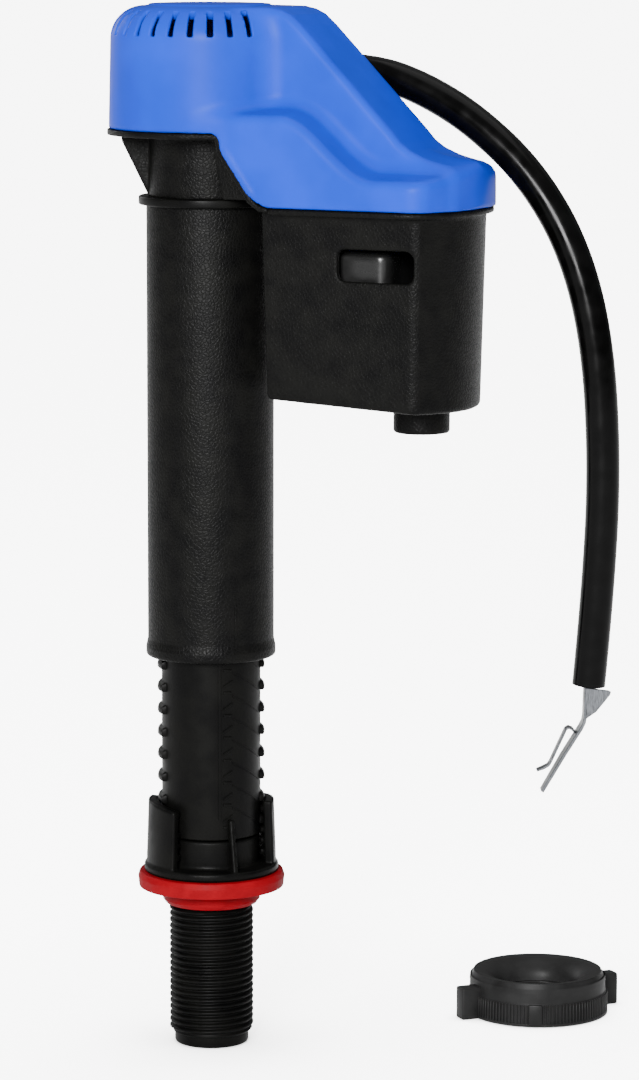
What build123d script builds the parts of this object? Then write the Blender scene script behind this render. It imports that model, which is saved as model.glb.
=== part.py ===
from build123d import *
import os
from math import atan2, cos, degrees, hypot, pi, sin, sqrt, tan

# Toilet tank float valve, in millimetres.
# +Z runs up the riser, +X points from the riser to the float cup, -Y is the side with the cup's window.
# The origin is the centre of the shank's lower end.

# Shank and base moulding
THREAD_R = 11.9            # 15/16 inch thread, crest radius
THREAD_PITCH = 1.814       # 14 threads per inch
THREAD_DEPTH = 0.95
TIP_R = 10.5               # plain end below the thread
TIP_LENGTH = 3.2
INLET_R = 8.0              # supply bore in the shank
INLET_DEPTH = 30.0
PIPE_WALL = 2.0            # wall of the spigot and of the downpipe
THREAD_TOP = 40.6
SHANK_NECK_R = 11.5
SEAT_Z = 45.5              # underside of the washer's flange
WASHER_STEP_R = 13.8
WASHER_R = 20.7
WASHER_THICK = 4.5
BASE_R = 19.0
BASE_THICK = 2.5
PEDESTAL_R = 13.6
PEDESTAL_HEIGHT = 8.0
SPIGOT_R = 9.0
SPIGOT_TOP = 78.0

# Lock walls and rack
LOCK_ANGLE = 34.0          # heading of one column of lugs, the other is opposite
WALL_ANGLE = 45.0          # heading of one lock wall, the other is opposite
LOCK_HALF = 36.0
LOCK_WALL_R = 18.2
LOCK_WALL = 2.6
LOCK_HEIGHT = 17.0
RUNG_DEPTH = 1.0
RUNG_HEIGHT = 1.6
STOP_ANGLE = -41.0         # rib that stops the lock's turn
STOP_THICK = 1.4
STOP_HEIGHT = 14.5
STOP_GAP = 0.5
RACK_R = 13.95
RACK_BORE_R = 11.0
RACK_LENGTH = 125.0
LUG_HALF = 19.0
LUG_PROUD = 1.17
LUG_HEIGHT = 2.8
LUG_PITCH = 6.4
LUG_FIRST = 2.7            # first lug above the rack tube's end
RIB_ANGLE = -53.0
RIB_PROUD = 0.35
RIB_WIDTH = 1.0
MARK_ANGLE = -43.7
MARK_PROUD = 0.25

# Outer tube and neck
TUBE_R = 17.75
TUBE_WALL = 1.75
TUBE_BOTTOM = 112.0
TUBE_TOP = 238.9
LIP_PROUD = 0.5
LIP_HEIGHT = 3.6
COLLAR_PROUD = 2.15
COLLAR_HEIGHT = 2.4
NECK_R = 17.0
NECK_SOCKET = 12.0         # how far the neck reaches into the outer tube
NECK_SOCKET_WALL = 2.4
FIT = 0.05                 # radial clearance of fits that slide
GAP = 0.2                  # clearance between covers

# Downpipe and rings
PIPE_R = 9.0
PIPE_BOTTOM = 120.0
GROOVE_DEPTH = 0.83
GROOVE_PLAY = 0.1          # room for a ring above and below it in its groove
RING_SQUEEZE = 0.03
PIPE_RINGS = (4.0, 11.0)   # ring centres above the downpipe's lower end
BASE_RING_DROP = 6.0       # ring centre below the spigot's top

# Tray, bridge and cap
TRAY_R = 28.6
TRAY_THICK = 1.6
CAP_SEAT = 260.0           # lower edge of the cap round the dome
CAP_LOW = 240.3            # lower edge of the cap over the float cup
DOME_R = 28.0
DOME_TOP = 293.7
DOME_ROUND = 9.0
DISC_R = 17.0
DISC_RISE = 0.6
CAP_WALL = 1.8
RIDGE_HALF = 12.8
SKIRT_HALF = 25.0
SKIRT_CORNER_X = 74.5
SKIRT_END_X = 82.3
STEP_X = 15.1              # where the lower edge starts down
STEP_DROP = 4.5
BRIDGE_X = 28.2            # where the lower edge is level again
SLOPE_X = 25.5             # top of the slope
SLOPE_FOOT = (62.0, 259.2)
TOE = (76.0, 252.3)
END_TOP = 249.6
SHOULDER_HIGH = 265.6
SHOULDER_LOW = 248.6
SHOULDER_X = (31.5, 60.5)  # where the shoulder starts and ends its fall
VENT_COUNT = 25
VENT_FIRST = 39.5
VENT_WIDTH = 1.8
VENT_INNER_R = 22.6
VENT_LOW = 285.8
VENT_HIGH = 293.0
GUSSET_THICK = 1.8
GUSSET_ANGLES = (-152.0, 152.0)
WEB_Y = 16.2               # the two webs between neck and bridge
WEB_THICK = 1.8
WEB_FOOT_X = 12.4
WEB_HEAD_X = 8.8

# Float cup
CUP_LEFT = 26.3
CUP_CORNER_X = 73.0
CUP_END_X = 80.5
CUP_HALF = 22.0
CUP_TOP = 239.0
CUP_BOTTOM = 185.2
CUP_SLOPE = 2.6            # how much higher the floor is at the riser's end
CUP_WALL = 1.8
CUP_TAPER = 1.3
WINDOW_X = (49.3, 71.8)
WINDOW_Z = (221.0, 229.7)
WINDOW_ROUND = 2.3
SPOUT_X = 64.8
SPOUT_R = 7.75
SPOUT_BORE_R = 5.6
SPOUT_BOTTOM = 178.6
DRAIN_BAR = 1.3            # the two bars across the spout, under the ball
DRAIN_BAR_RISE = 1.6
DRAIN_BAR_Y = 2.3
FLOAT_X = (30.2, 62.0)
FLOAT_GAP = 3.7            # from the float's sides to the cup's walls
FLOAT_BOTTOM = 194.0
FLOAT_TOP = 228.0
FLOAT_ROUND = 4.0
FLOAT_BOSS_R = 3.4
BALL_R = 4.6

# Valve works under the cap
SEAT_INSERT_R = 7.5
SEAT_INSERT_RISE = 1.6
DIAPHRAGM_R = 12.5
DIAPHRAGM_THICK = 1.6
BONNET_R = 17.0
SCREW_INSET = 3.0          # screw centres, in from the bonnet's edge
BONNET_HEIGHT = 5.5
PIVOT_X = 5.5
HUB_R = 2.6
PIVOT_RISE = 4.2
PIN_R = 1.5
ARM_HALF = 4.0
ARM_THICK = 3.0
EAR_THICK = 2.0
ROD_X = 34.0
ROD_R = 1.6
ROD_DROP = 4.0
ARM_SLOT = (3.0, 2.2)      # half length and half width of the slot for the rod
ROD_COLLAR_R = 4.0
ROD_COLLAR_GAP = 1.4
PILOT_R = 1.2
PILOT_BORE_R = 1.25
PILOT_HEAD_R = 1.8
PILOT_HEAD_DROP = 1.4      # top of the pilot pin, below the pivot

# Refill hose, clip and lock nut
HOSE_R = 4.6
HOSE_Y = 18.6
HOSE_POINTS = [
    (25.2, 276.2), (40.5, 276.2), (56.0, 271.6), (72.0, 263.0), (88.8, 248.8),
    (101.8, 228.8), (109.0, 203.0), (111.3, 168.0), (109.6, 133.0), (107.3, 108.7)]
NIPPLE_R = 4.2
NIPPLE_BORE_R = 2.2
NIPPLE_COLLAR = 1.18       # collar that stands out of the dome, under the hose's end
CLIP_THICK = 0.9
CLIP_HALF = 3.0
CLIP_TURN = 27.0           # how far the clip is turned about the hose's end
NUT_CENTRE = (70.9, 71.2)
NUT_R = 19.8
NUT_BAND_R = 20.6
NUT_HEIGHT = 12.5
NUT_BAND = 6.5
NUT_WING = 25.3
NUT_WING_TOP = 9.4
NUT_TURN = 49.0
NUT_BELL = 6.3             # radius of the mouth's rounded funnel
NUT_RIBS = 120
NUT_RIB_GAP = 0.5

# Values that follow from the ones above
LIP_R = TUBE_R + LIP_PROUD
COLLAR_R = TUBE_R + COLLAR_PROUD
WATERWAY_R = PIPE_R - PIPE_WALL
FLOAT_HALF = CUP_HALF - CUP_WALL - FLOAT_GAP
NIPPLE_END = sqrt(DOME_R ** 2 - (HOSE_Y - NIPPLE_R) ** 2) + NIPPLE_COLLAR
BASE_BOTTOM = SEAT_Z + WASHER_THICK
BASE_TOP = BASE_BOTTOM + BASE_THICK
PEDESTAL_TOP = BASE_TOP + PEDESTAL_HEIGHT
RACK_BOTTOM = PEDESTAL_TOP + 0.5
RACK_TOP = RACK_BOTTOM + RACK_LENGTH
COLLAR_TOP = TUBE_TOP + COLLAR_HEIGHT
TRAY_TOP = CAP_SEAT - GAP
TRAY_BOTTOM = TRAY_TOP - TRAY_THICK
SEAT_TOP = TRAY_TOP + SEAT_INSERT_RISE
DIAPHRAGM_TOP = SEAT_TOP + DIAPHRAGM_THICK
BONNET_TOP = DIAPHRAGM_TOP + BONNET_HEIGHT
PIVOT_Z = BONNET_TOP + PIVOT_RISE
ROD_Z = PIVOT_Z - ROD_DROP


def disc(radius, low, high, x=0.0, y=0.0):
    """An upright cylinder between two heights."""
    return Pos(x, y, (low + high) / 2) * Cylinder(radius, high - low)


def ring(outer, inner, low, high):
    """An upright ring between two heights."""
    return disc(outer, low, high) - disc(inner, low - 1, high + 1)


def block(x, y, z):
    """A box from three (low, high) pairs."""
    centre = [(pair[0] + pair[1]) / 2 for pair in (x, y, z)]
    return Pos(*centre) * Box(x[1] - x[0], y[1] - y[0], z[1] - z[0])


def across(points, half):
    """A side-view outline in X and Z, made as thick as half each side of the middle plane."""
    face = make_face(Polyline(*[(x, 0, z) for x, z in points], close=True))
    return extrude(face, amount=half, both=True)


def turned(points):
    """A radius and height outline, turned about the riser's axis."""
    face = make_face(Polyline(*[(r, 0, z) for r, z in points], close=True))
    return revolve(face, Axis.Z)


def sector(outer, inner, low, high, centre, half):
    """Part of a ring, half degrees each side of a heading."""
    points = [(inner, 0, low), (outer, 0, low), (outer, 0, high), (inner, 0, high)]
    face = make_face(Polyline(*points, close=True))
    return Rot(0, 0, centre - half) * revolve(face, Axis.Z, revolution_arc=2 * half)


def radial(shape, angle):
    """Turn a shape made along +X to a heading."""
    return Rot(0, 0, angle) * shape


def ring_wire(pipe_r):
    """Half the thickness of the O-ring that fills a pipe's groove up to the rack tube's bore."""
    return (RACK_BORE_R - RING_SQUEEZE - pipe_r + GROOVE_DEPTH) / 2


def ring_groove(centre, pipe_r):
    """The room that an O-ring's groove takes out of a pipe."""
    half = ring_wire(pipe_r) + GROOVE_PLAY
    return ring(pipe_r + 1, pipe_r - GROOVE_DEPTH, centre - half, centre + half)


def o_ring(centre, pipe_r):
    """A round rubber ring that just meets the bore round it."""
    wire = ring_wire(pipe_r)
    return Pos(0, 0, centre) * Torus(RACK_BORE_R - RING_SQUEEZE - wire, wire)


def base_shank():
    """Threaded shank, base disc, spigot and lock walls in one moulding."""
    body = disc(TIP_R, 0, TIP_LENGTH) + disc(THREAD_R, TIP_LENGTH, THREAD_TOP)
    body += disc(SHANK_NECK_R, THREAD_TOP, BASE_BOTTOM)
    root = THREAD_R - THREAD_DEPTH
    turn = TIP_LENGTH
    while turn + THREAD_PITCH < THREAD_TOP - 1.0:
        low = turn + 0.15 * THREAD_PITCH
        high = turn + 0.85 * THREAD_PITCH
        groove = [(THREAD_R + 0.5, low - 0.3), (root, (low + high) / 2), (THREAD_R + 0.5, high + 0.3)]
        body -= turned(groove)
        turn += THREAD_PITCH
    body += disc(BASE_R, BASE_BOTTOM, BASE_TOP)
    body += disc(PEDESTAL_R, BASE_TOP, PEDESTAL_TOP)
    body += disc(SPIGOT_R, PEDESTAL_TOP, SPIGOT_TOP)
    for heading in (WALL_ANGLE, WALL_ANGLE + 180):
        inner = LOCK_WALL_R - LOCK_WALL
        top = BASE_TOP + LOCK_HEIGHT
        body += sector(LOCK_WALL_R, inner, BASE_TOP - 0.5, top, heading, LOCK_HALF)
        lug_low = RACK_BOTTOM + LUG_FIRST
        rungs = [lug_low - 0.8 - RUNG_HEIGHT - step * LUG_PITCH / 2 for step in range(3)]
        rungs.append(lug_low + LUG_HEIGHT + 0.8)
        for low in rungs:
            body += sector(inner + 0.3, inner - RUNG_DEPTH, low, low + RUNG_HEIGHT, heading, LOCK_HALF)
        stop_inner = RACK_R + STOP_GAP
        stop = across([(stop_inner, BASE_TOP - 0.5), (BASE_R - 0.5, BASE_TOP - 0.5),
                       (stop_inner + 1.2, BASE_TOP + STOP_HEIGHT),
                       (stop_inner, BASE_TOP + STOP_HEIGHT)], STOP_THICK / 2)
        body += radial(stop, STOP_ANGLE + heading - WALL_ANGLE)
    body -= ring_groove(SPIGOT_TOP - BASE_RING_DROP, SPIGOT_R)
    body -= disc(INLET_R, -1, INLET_DEPTH)
    body -= disc(SPIGOT_R - PIPE_WALL, INLET_DEPTH - 1, SPIGOT_TOP + 1)
    return body


def shank_washer():
    """Rubber washer: a flange above the tank floor and a step that centres in its hole."""
    step = 1.2
    return turned([(SHANK_NECK_R, THREAD_TOP), (WASHER_STEP_R - step, THREAD_TOP),
                   (WASHER_STEP_R, THREAD_TOP + step), (WASHER_STEP_R, SEAT_Z),
                   (WASHER_R, SEAT_Z), (WASHER_R, SEAT_Z + 2.4),
                   (WASHER_R - 1.0, BASE_BOTTOM), (SHANK_NECK_R, BASE_BOTTOM)])


def rack_tube():
    """Tube with two columns of lugs that the lock walls hold."""
    body = disc(RACK_R, RACK_BOTTOM, RACK_TOP)
    low = RACK_BOTTOM + LUG_FIRST
    while low + LUG_HEIGHT < RACK_TOP - 1:
        for heading in (LOCK_ANGLE, LOCK_ANGLE + 180):
            inner = RACK_R - 0.5
            outer = RACK_R + LUG_PROUD
            points = [(inner, 0, low), (outer, 0, low), (outer, 0, low + LUG_HEIGHT / 2),
                      (inner, 0, low + LUG_HEIGHT)]
            face = make_face(Polyline(*points, close=True))
            lug = revolve(face, Axis.Z, revolution_arc=2 * LUG_HALF)
            body += Rot(0, 0, heading - LUG_HALF) * lug
        mark = block((RACK_R - 0.5, RACK_R + MARK_PROUD), (-1.5, 1.5), (low + 0.9, low + 1.9))
        body += radial(mark, MARK_ANGLE)
        low += LUG_PITCH
    rib = block((RACK_R - 0.5, RACK_R + RIB_PROUD), (-RIB_WIDTH / 2, RIB_WIDTH / 2),
                (RACK_BOTTOM + 6, RACK_TOP - 2))
    body += radial(rib, RIB_ANGLE)
    body -= disc(RACK_BORE_R, RACK_BOTTOM - 1, RACK_TOP + 1)
    notch = block((RACK_BORE_R - 1, RACK_R + 1), (-1.2, 1.2), (RACK_BOTTOM - 1, RACK_BOTTOM + 2))
    return body - radial(notch, RIB_ANGLE + 6)


def outer_tube():
    """Smooth outer tube with a rounded lip at its lower end."""
    body = disc(TUBE_R, TUBE_BOTTOM + 0.5, TUBE_TOP)
    lip = fillet(disc(LIP_R, TUBE_BOTTOM, TUBE_BOTTOM + LIP_HEIGHT).edges(), (LIP_R - TUBE_R) * 0.8)
    body += lip
    return body - disc(TUBE_R - TUBE_WALL, TUBE_BOTTOM - 1, TUBE_TOP + 1)


def tube_collar():
    """Ring that ties the outer tube to the neck."""
    return ring(COLLAR_R, NECK_R, TUBE_TOP, COLLAR_TOP)


def lower_edge(drop):
    """Side view of the cap's lower edge, moved down by drop."""
    return [(-60, CAP_SEAT - drop), (STEP_X, CAP_SEAT - drop),
            (STEP_X + 1.2, CAP_SEAT - STEP_DROP - drop), (BRIDGE_X, CAP_LOW - drop), (110, CAP_LOW - drop)]


def screw_spots():
    """The four places of the bonnet's screws."""
    spot = (BONNET_R - SCREW_INSET) * sqrt(0.5)
    return [(a * spot, b * spot) for a in (1, -1) for b in (1, -1)]


def valve_body():
    """Neck, round tray and the bridge that runs down to the float cup."""
    socket_r = TUBE_R - TUBE_WALL - FIT
    body = disc(NECK_R, TUBE_TOP, TRAY_BOTTOM + 0.5)
    body += disc(TRAY_R, TRAY_BOTTOM, TRAY_TOP) - block((STEP_X, 40), (-40, 40), (200, 300))
    body += disc(socket_r, TUBE_TOP - NECK_SOCKET, TUBE_TOP)
    body -= disc(socket_r - NECK_SOCKET_WALL, TUBE_TOP - NECK_SOCKET - 1, TUBE_TOP - 2)
    for angle in GUSSET_ANGLES:
        gusset = across([(NECK_R - 1, COLLAR_TOP + 0.3), (NECK_R + 0.3, COLLAR_TOP + 0.3),
                         (24.0, TRAY_BOTTOM - 2), (24.5, TRAY_BOTTOM + 0.3),
                         (NECK_R - 1, TRAY_BOTTOM + 0.3)], GUSSET_THICK / 2)
        body += radial(gusset, angle)
    edge = lower_edge(GAP)
    lower = lower_edge(GAP + TRAY_THICK)
    body += across([(STEP_X - 3, edge[1][1]), edge[1], edge[2], edge[3], (BRIDGE_X, CUP_TOP),
                    (CUP_LEFT - 0.5, CUP_TOP), lower[2], (STEP_X - 3, lower[1][1])], SKIRT_HALF - 0.4)
    web = across([(WEB_FOOT_X, COLLAR_TOP + 0.2), (BRIDGE_X - 3.2, COLLAR_TOP + 0.2),
                  (lower[2][0], lower[2][1] + 0.6), (STEP_X - 0.9, TRAY_BOTTOM + 0.3),
                  (WEB_HEAD_X, TRAY_BOTTOM + 0.3)], WEB_THICK / 2)
    body += Pos(0, WEB_Y, 0) * web + Pos(0, -WEB_Y, 0) * web
    body -= disc(PIPE_R, TUBE_TOP - 3, TRAY_TOP - 2)
    body -= disc(SEAT_INSERT_R, TRAY_TOP - 2, TRAY_TOP + 1)
    for x, y in screw_spots():
        body -= disc(0.9, TRAY_TOP - 6, TRAY_TOP + 1, x, y)
    return body


def downpipe():
    """Inner pipe that carries water up to the seat and slides in the rack tube's bore."""
    body = disc(PIPE_R, PIPE_BOTTOM, TRAY_TOP - 2)
    body -= disc(WATERWAY_R, PIPE_BOTTOM - 1, TRAY_TOP)
    for rise in PIPE_RINGS:
        body -= ring_groove(PIPE_BOTTOM + rise, PIPE_R)
    return body


def inlet_filter():
    """Perforated disc at the head of the downpipe."""
    top = TRAY_TOP - 3
    body = disc(WATERWAY_R, top - 1.6, top)
    for row, count in ((2.4, 6), (4.9, 12)):
        for step in range(count):
            angle = 2 * pi * step / count
            body -= disc(0.7, top - 3, top + 1, row * cos(angle), row * sin(angle))
    return body


def seat_insert():
    """Hard seat ring with the nozzle that the diaphragm closes."""
    body = disc(SEAT_INSERT_R, TRAY_TOP - 2, TRAY_TOP + 0.6) + disc(4.2, TRAY_TOP, SEAT_TOP)
    return body - disc(2.6, TRAY_TOP - 5, SEAT_TOP + 1)


def diaphragm():
    """Rubber disc held at its rim, with a small bleed hole."""
    rim = ring(DIAPHRAGM_R, DIAPHRAGM_R - 2.2, TRAY_TOP, DIAPHRAGM_TOP)
    body = rim + disc(DIAPHRAGM_R - 1, SEAT_TOP, DIAPHRAGM_TOP)
    return body - disc(0.5, SEAT_TOP - 1, DIAPHRAGM_TOP + 1, 8.0)


def bonnet():
    """Cover over the diaphragm, with the pilot hole and the arm's two ears."""
    body = disc(BONNET_R, TRAY_TOP, BONNET_TOP)
    body -= disc(DIAPHRAGM_R, TRAY_TOP - 1, DIAPHRAGM_TOP)
    body -= disc(DIAPHRAGM_R - 4, DIAPHRAGM_TOP - 1, BONNET_TOP - 2)
    body -= disc(PILOT_BORE_R, DIAPHRAGM_TOP - 1, BONNET_TOP + 1)
    ear_in = ARM_HALF + 0.3
    for side in (-1, 1):
        low, high = sorted((side * ear_in, side * (ear_in + EAR_THICK)))
        ear = block((PIVOT_X - 3.0, PIVOT_X + 3.0), (low, high), (BONNET_TOP - 0.5, PIVOT_Z))
        head = Pos(PIVOT_X, (low + high) / 2, PIVOT_Z) * Rot(90, 0, 0) * Cylinder(3.0, high - low)
        body += ear + head
    body -= Pos(PIVOT_X, 0, PIVOT_Z) * Rot(90, 0, 0) * Cylinder(PIN_R, 60)
    for x, y in screw_spots():
        body -= disc(1.3, TRAY_TOP - 1, BONNET_TOP + 1, x, y)
        body -= disc(2.5, BONNET_TOP - 2.0, BONNET_TOP + 1, x, y)
    return body


def bonnet_screws():
    """Four small screws that hold the bonnet to the tray."""
    screws = []
    for x, y in screw_spots():
        screw = disc(1.25, TRAY_TOP - 5, BONNET_TOP - 2, x, y)
        screw -= ring(3, 0.88, TRAY_TOP - 7, TRAY_TOP).moved(Location((x, y, 0)))
        screw += disc(2.3, BONNET_TOP - 2, BONNET_TOP - 0.3, x, y)
        screw -= block((x - 1.6, x + 1.6), (y - 0.3, y + 0.3), (BONNET_TOP - 0.9, BONNET_TOP + 1))
        screw -= block((x - 0.3, x + 0.3), (y - 1.6, y + 1.6), (BONNET_TOP - 0.9, BONNET_TOP + 1))
        screws.append(screw)
    return Compound(children=screws)


def pivot_pin():
    """Pin that the float arm turns on."""
    return Pos(PIVOT_X, 0, PIVOT_Z) * Rot(90, 0, 0) * Cylinder(PIN_R, 2 * (ARM_HALF + 0.3 + EAR_THICK) + 1)


def float_arm():
    """Lever from the pilot pin, over its pivot, to the float's rod."""
    half = ARM_THICK / 2
    top = PIVOT_Z + half
    body = across([(-2.2, PIVOT_Z - 1.0), (PIVOT_X, PIVOT_Z - half), (20, PIVOT_Z - half - 0.6),
                   (ROD_X - 6, ROD_Z - half), (ROD_X + 5, ROD_Z - half), (ROD_X + 5, ROD_Z + half),
                   (ROD_X - 6, ROD_Z + half), (20, top - 0.6), (PIVOT_X, top), (-2.2, top - 0.6)], ARM_HALF)
    body += Pos(PIVOT_X, 0, PIVOT_Z) * Rot(90, 0, 0) * Cylinder(HUB_R, 2 * ARM_HALF)
    body -= Pos(PIVOT_X, 0, PIVOT_Z) * Rot(90, 0, 0) * Cylinder(PIN_R + FIT, 4 * ARM_HALF)
    slot_x, slot_y = ARM_SLOT
    body -= block((ROD_X - slot_x, ROD_X + slot_x), (-slot_y, slot_y), (ROD_Z - 5, ROD_Z + 5))
    return body


def pilot_pin():
    """Small pin that the arm presses on to close the pilot hole."""
    top = PIVOT_Z - PILOT_HEAD_DROP
    return disc(PILOT_R, BONNET_TOP - 1.5, top) + disc(PILOT_HEAD_R, top - 1.0, top)


def pilot_seal():
    """Rubber pad on the pilot pin's lower end."""
    return disc(PILOT_R, BONNET_TOP - 2.3, BONNET_TOP - 1.5)


def plan_outline(left, corner_x, end_x, half, inset, near_round, far_round):
    """Plan of a box whose far end bows outwards, as a face at height 0."""
    arc = ThreePointArc((corner_x - inset, -half + inset), (end_x - inset, 0),
                        (corner_x - inset, half - inset))
    back = Polyline((corner_x - inset, half - inset), (left + inset, half - inset),
                    (left + inset, -half + inset), (corner_x - inset, -half + inset))
    face = make_face([arc, back])
    far = face.vertices().sort_by(Axis.X)
    face = fillet(far[-2:], far_round)
    near = face.vertices().sort_by(Axis.X)
    return fillet(near[:2], near_round)


def below_floor(rise):
    """The room under the float cup's sloping floor, moved up by rise."""
    low = CUP_BOTTOM + rise
    return across([(CUP_LEFT - 5, low - 30), (CUP_LEFT - 5, low + CUP_SLOPE), (CUP_LEFT, low + CUP_SLOPE),
                   (CUP_END_X, low), (CUP_END_X + 5, low), (CUP_END_X + 5, low - 30)], 60)


def float_cup():
    """Open box round the float, with its window and drain spout."""
    outer = plan_outline(CUP_LEFT, CUP_CORNER_X, CUP_END_X, CUP_HALF, 0, 2.5, 4.0)
    inner = plan_outline(CUP_LEFT, CUP_CORNER_X, CUP_END_X, CUP_HALF, CUP_WALL, 1.5, 3.0)
    depth = CUP_TOP - CUP_BOTTOM
    body = Pos(0, 0, CUP_TOP) * extrude(outer, amount=-depth, taper=CUP_TAPER) - below_floor(0)
    flange = plan_outline(BRIDGE_X, SKIRT_CORNER_X, SKIRT_END_X, SKIRT_HALF, 0.3, 2.5, 6.0)
    body += Pos(0, 0, CUP_TOP - 0.6) * extrude(flange, amount=CAP_LOW - GAP - CUP_TOP + 0.6)
    body += disc(SPOUT_R, SPOUT_BOTTOM, CUP_BOTTOM + 2, SPOUT_X)
    body -= Pos(0, 0, CUP_TOP + 3) * extrude(inner, amount=-depth - 3, taper=CUP_TAPER) - below_floor(CUP_WALL)
    body -= disc(SPOUT_BORE_R, SPOUT_BOTTOM - 1, CUP_BOTTOM + CUP_WALL + 3, SPOUT_X)
    wide = WINDOW_X[1] - WINDOW_X[0]
    tall = WINDOW_Z[1] - WINDOW_Z[0]
    pane = fillet(Rectangle(wide, tall).vertices(), WINDOW_ROUND)
    place = Plane(origin=((WINDOW_X[0] + WINDOW_X[1]) / 2, -CUP_HALF - 2, (WINDOW_Z[0] + WINDOW_Z[1]) / 2),
                  x_dir=(1, 0, 0), z_dir=(0, 1, 0))
    body -= extrude(place * pane, amount=8)
    for side in (-1, 1):
        low, high = sorted((side * DRAIN_BAR_Y, side * (DRAIN_BAR_Y + DRAIN_BAR)))
        body += block((SPOUT_X - SPOUT_BORE_R - 0.3, SPOUT_X + SPOUT_BORE_R + 0.3), (low, high),
                      (SPOUT_BOTTOM + DRAIN_BAR_RISE, SPOUT_BOTTOM + DRAIN_BAR_RISE + DRAIN_BAR))
    return body


def drain_ball():
    """Ball that rests over the spout's two bars and lifts to close the drain."""
    rest = SPOUT_BOTTOM + DRAIN_BAR_RISE + DRAIN_BAR + sqrt(BALL_R ** 2 - DRAIN_BAR_Y ** 2)
    return Pos(SPOUT_X, 0, rest + 0.05) * Sphere(BALL_R)


def float_block():
    """Hollow float, closed, with a boss for the level screw."""
    body = block(FLOAT_X, (-FLOAT_HALF, FLOAT_HALF), (FLOAT_BOTTOM, FLOAT_TOP))
    body = fillet(body.edges(), FLOAT_ROUND)
    body += disc(FLOAT_BOSS_R, FLOAT_TOP - 1, FLOAT_TOP + 3, ROD_X)
    return body - disc(ROD_R + FIT, FLOAT_TOP - 12, FLOAT_TOP + 5, ROD_X)


def level_screw():
    """Screw between the float and the arm that sets the water level."""
    body = disc(ROD_R, FLOAT_TOP - 11.5, ROD_Z + ARM_THICK / 2 + ROD_COLLAR_GAP + 2, ROD_X)
    low = ROD_Z - ARM_THICK / 2 - ROD_COLLAR_GAP
    high = ROD_Z + ARM_THICK / 2 + ROD_COLLAR_GAP
    body += disc(ROD_COLLAR_R, low - 2.5, low, ROD_X)
    body += disc(ROD_COLLAR_R - 0.6, high, high + 2, ROD_X)
    for step in range(8):
        angle = 2 * pi * step / 8
        body -= disc(0.6, low - 3, low + 1, ROD_X + ROD_COLLAR_R * cos(angle), ROD_COLLAR_R * sin(angle))
    return body


def ridge_outline(wall):
    """Side view of the ridge and its slope, moved inwards by wall."""
    lean = wall * 0.42
    foot = (SLOPE_FOOT[0] - lean - 0.4 * wall, SLOPE_FOOT[1] - lean - 0.2 * wall)
    return [(0, CAP_LOW - 10), (0, DOME_TOP - wall), (SLOPE_X - lean, DOME_TOP - wall),
            (SLOPE_X + 4.6 - lean * 1.3, DOME_TOP - 2.0 - wall * 1.2), foot,
            (SLOPE_FOOT[0] + 4.5 - wall, SLOPE_FOOT[1] - 3.6 - wall), (TOE[0] - wall, TOE[1] - wall),
            (SKIRT_END_X - 2 - wall, END_TOP + 1.0 - wall), (SKIRT_END_X - 2 - wall, CAP_LOW - 10)]


def shoulder_outline(wall):
    """Side view of the skirt with its S-shaped shoulder, moved inwards by wall."""
    high = SHOULDER_HIGH - wall
    low = SHOULDER_LOW - wall
    start, end = SHOULDER_X[0] - wall * 0.5, SHOULDER_X[1] - wall * 0.5
    fall = []
    steps = 10
    for step in range(1, steps):
        share = step / steps
        fall.append((start + (end - start) * share, high - (high - low) * (1 - cos(pi * share)) / 2))
    return [(0, CAP_LOW - 10), (0, high), (start, high)] + fall + [(end, low), (120, low), (120, CAP_LOW - 10)]


def cap_form(wall):
    """Closed form of the cap, moved inwards by wall."""
    radius = DOME_R - wall
    top = DOME_TOP - wall
    dome = fillet(disc(radius, CAP_LOW - 10, top).edges().group_by(Axis.Z)[-1], DOME_ROUND - wall)
    dome = dome if isinstance(dome, Part) else Part(dome.wrapped)
    plan = plan_outline(0, SKIRT_CORNER_X, SKIRT_END_X, SKIRT_HALF, wall, 0.5, 8.0 - wall)
    column = Pos(0, 0, CAP_LOW - 10) * extrude(plan, amount=80)
    ridge = across(ridge_outline(wall), RIDGE_HALF - wall) & column
    skirt = column & across(shoulder_outline(wall), 60)
    return dome + ridge + skirt


def cap():
    """Cover that pushes on over the valve works and the float cup."""
    body = cap_form(0) + disc(DISC_R, DOME_TOP - 1, DOME_TOP + DISC_RISE)
    body -= cap_form(CAP_WALL)
    edge = lower_edge(0)
    body -= across([(-60, CAP_LOW - 20)] + edge + [(110, CAP_LOW - 20)], 60)
    span = 360 - 2 * VENT_FIRST
    for step in range(VENT_COUNT):
        angle = VENT_FIRST + span * step / (VENT_COUNT - 1)
        vent = block((VENT_INNER_R, DOME_R + 3), (-VENT_WIDTH / 2, VENT_WIDTH / 2), (VENT_LOW, VENT_HIGH))
        body -= radial(vent, angle)
    hole = Pos(20, HOSE_Y, HOSE_POINTS[0][1]) * Rot(0, 90, 0) * Cylinder(NIPPLE_R - 0.8, 16)
    return body - hole


def refill_nipple():
    """Outlet stub pressed into the dome, with a collar that the hose butts on."""
    height = HOSE_POINTS[0][1]
    x_axis = Rot(0, 90, 0)
    inner_end = NIPPLE_END - 11
    stub = Cylinder(NIPPLE_R - 0.8, NIPPLE_END - inner_end)
    body = Pos((inner_end + NIPPLE_END) / 2, HOSE_Y, height) * x_axis * stub
    collar = Pos(NIPPLE_END - 3, HOSE_Y, height) * x_axis * Cylinder(NIPPLE_R, 6)
    body += collar - disc(DOME_R + 0.05, CAP_LOW, DOME_TOP)
    return body - Pos(NIPPLE_END, HOSE_Y, height) * x_axis * Cylinder(NIPPLE_BORE_R, 30)


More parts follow.
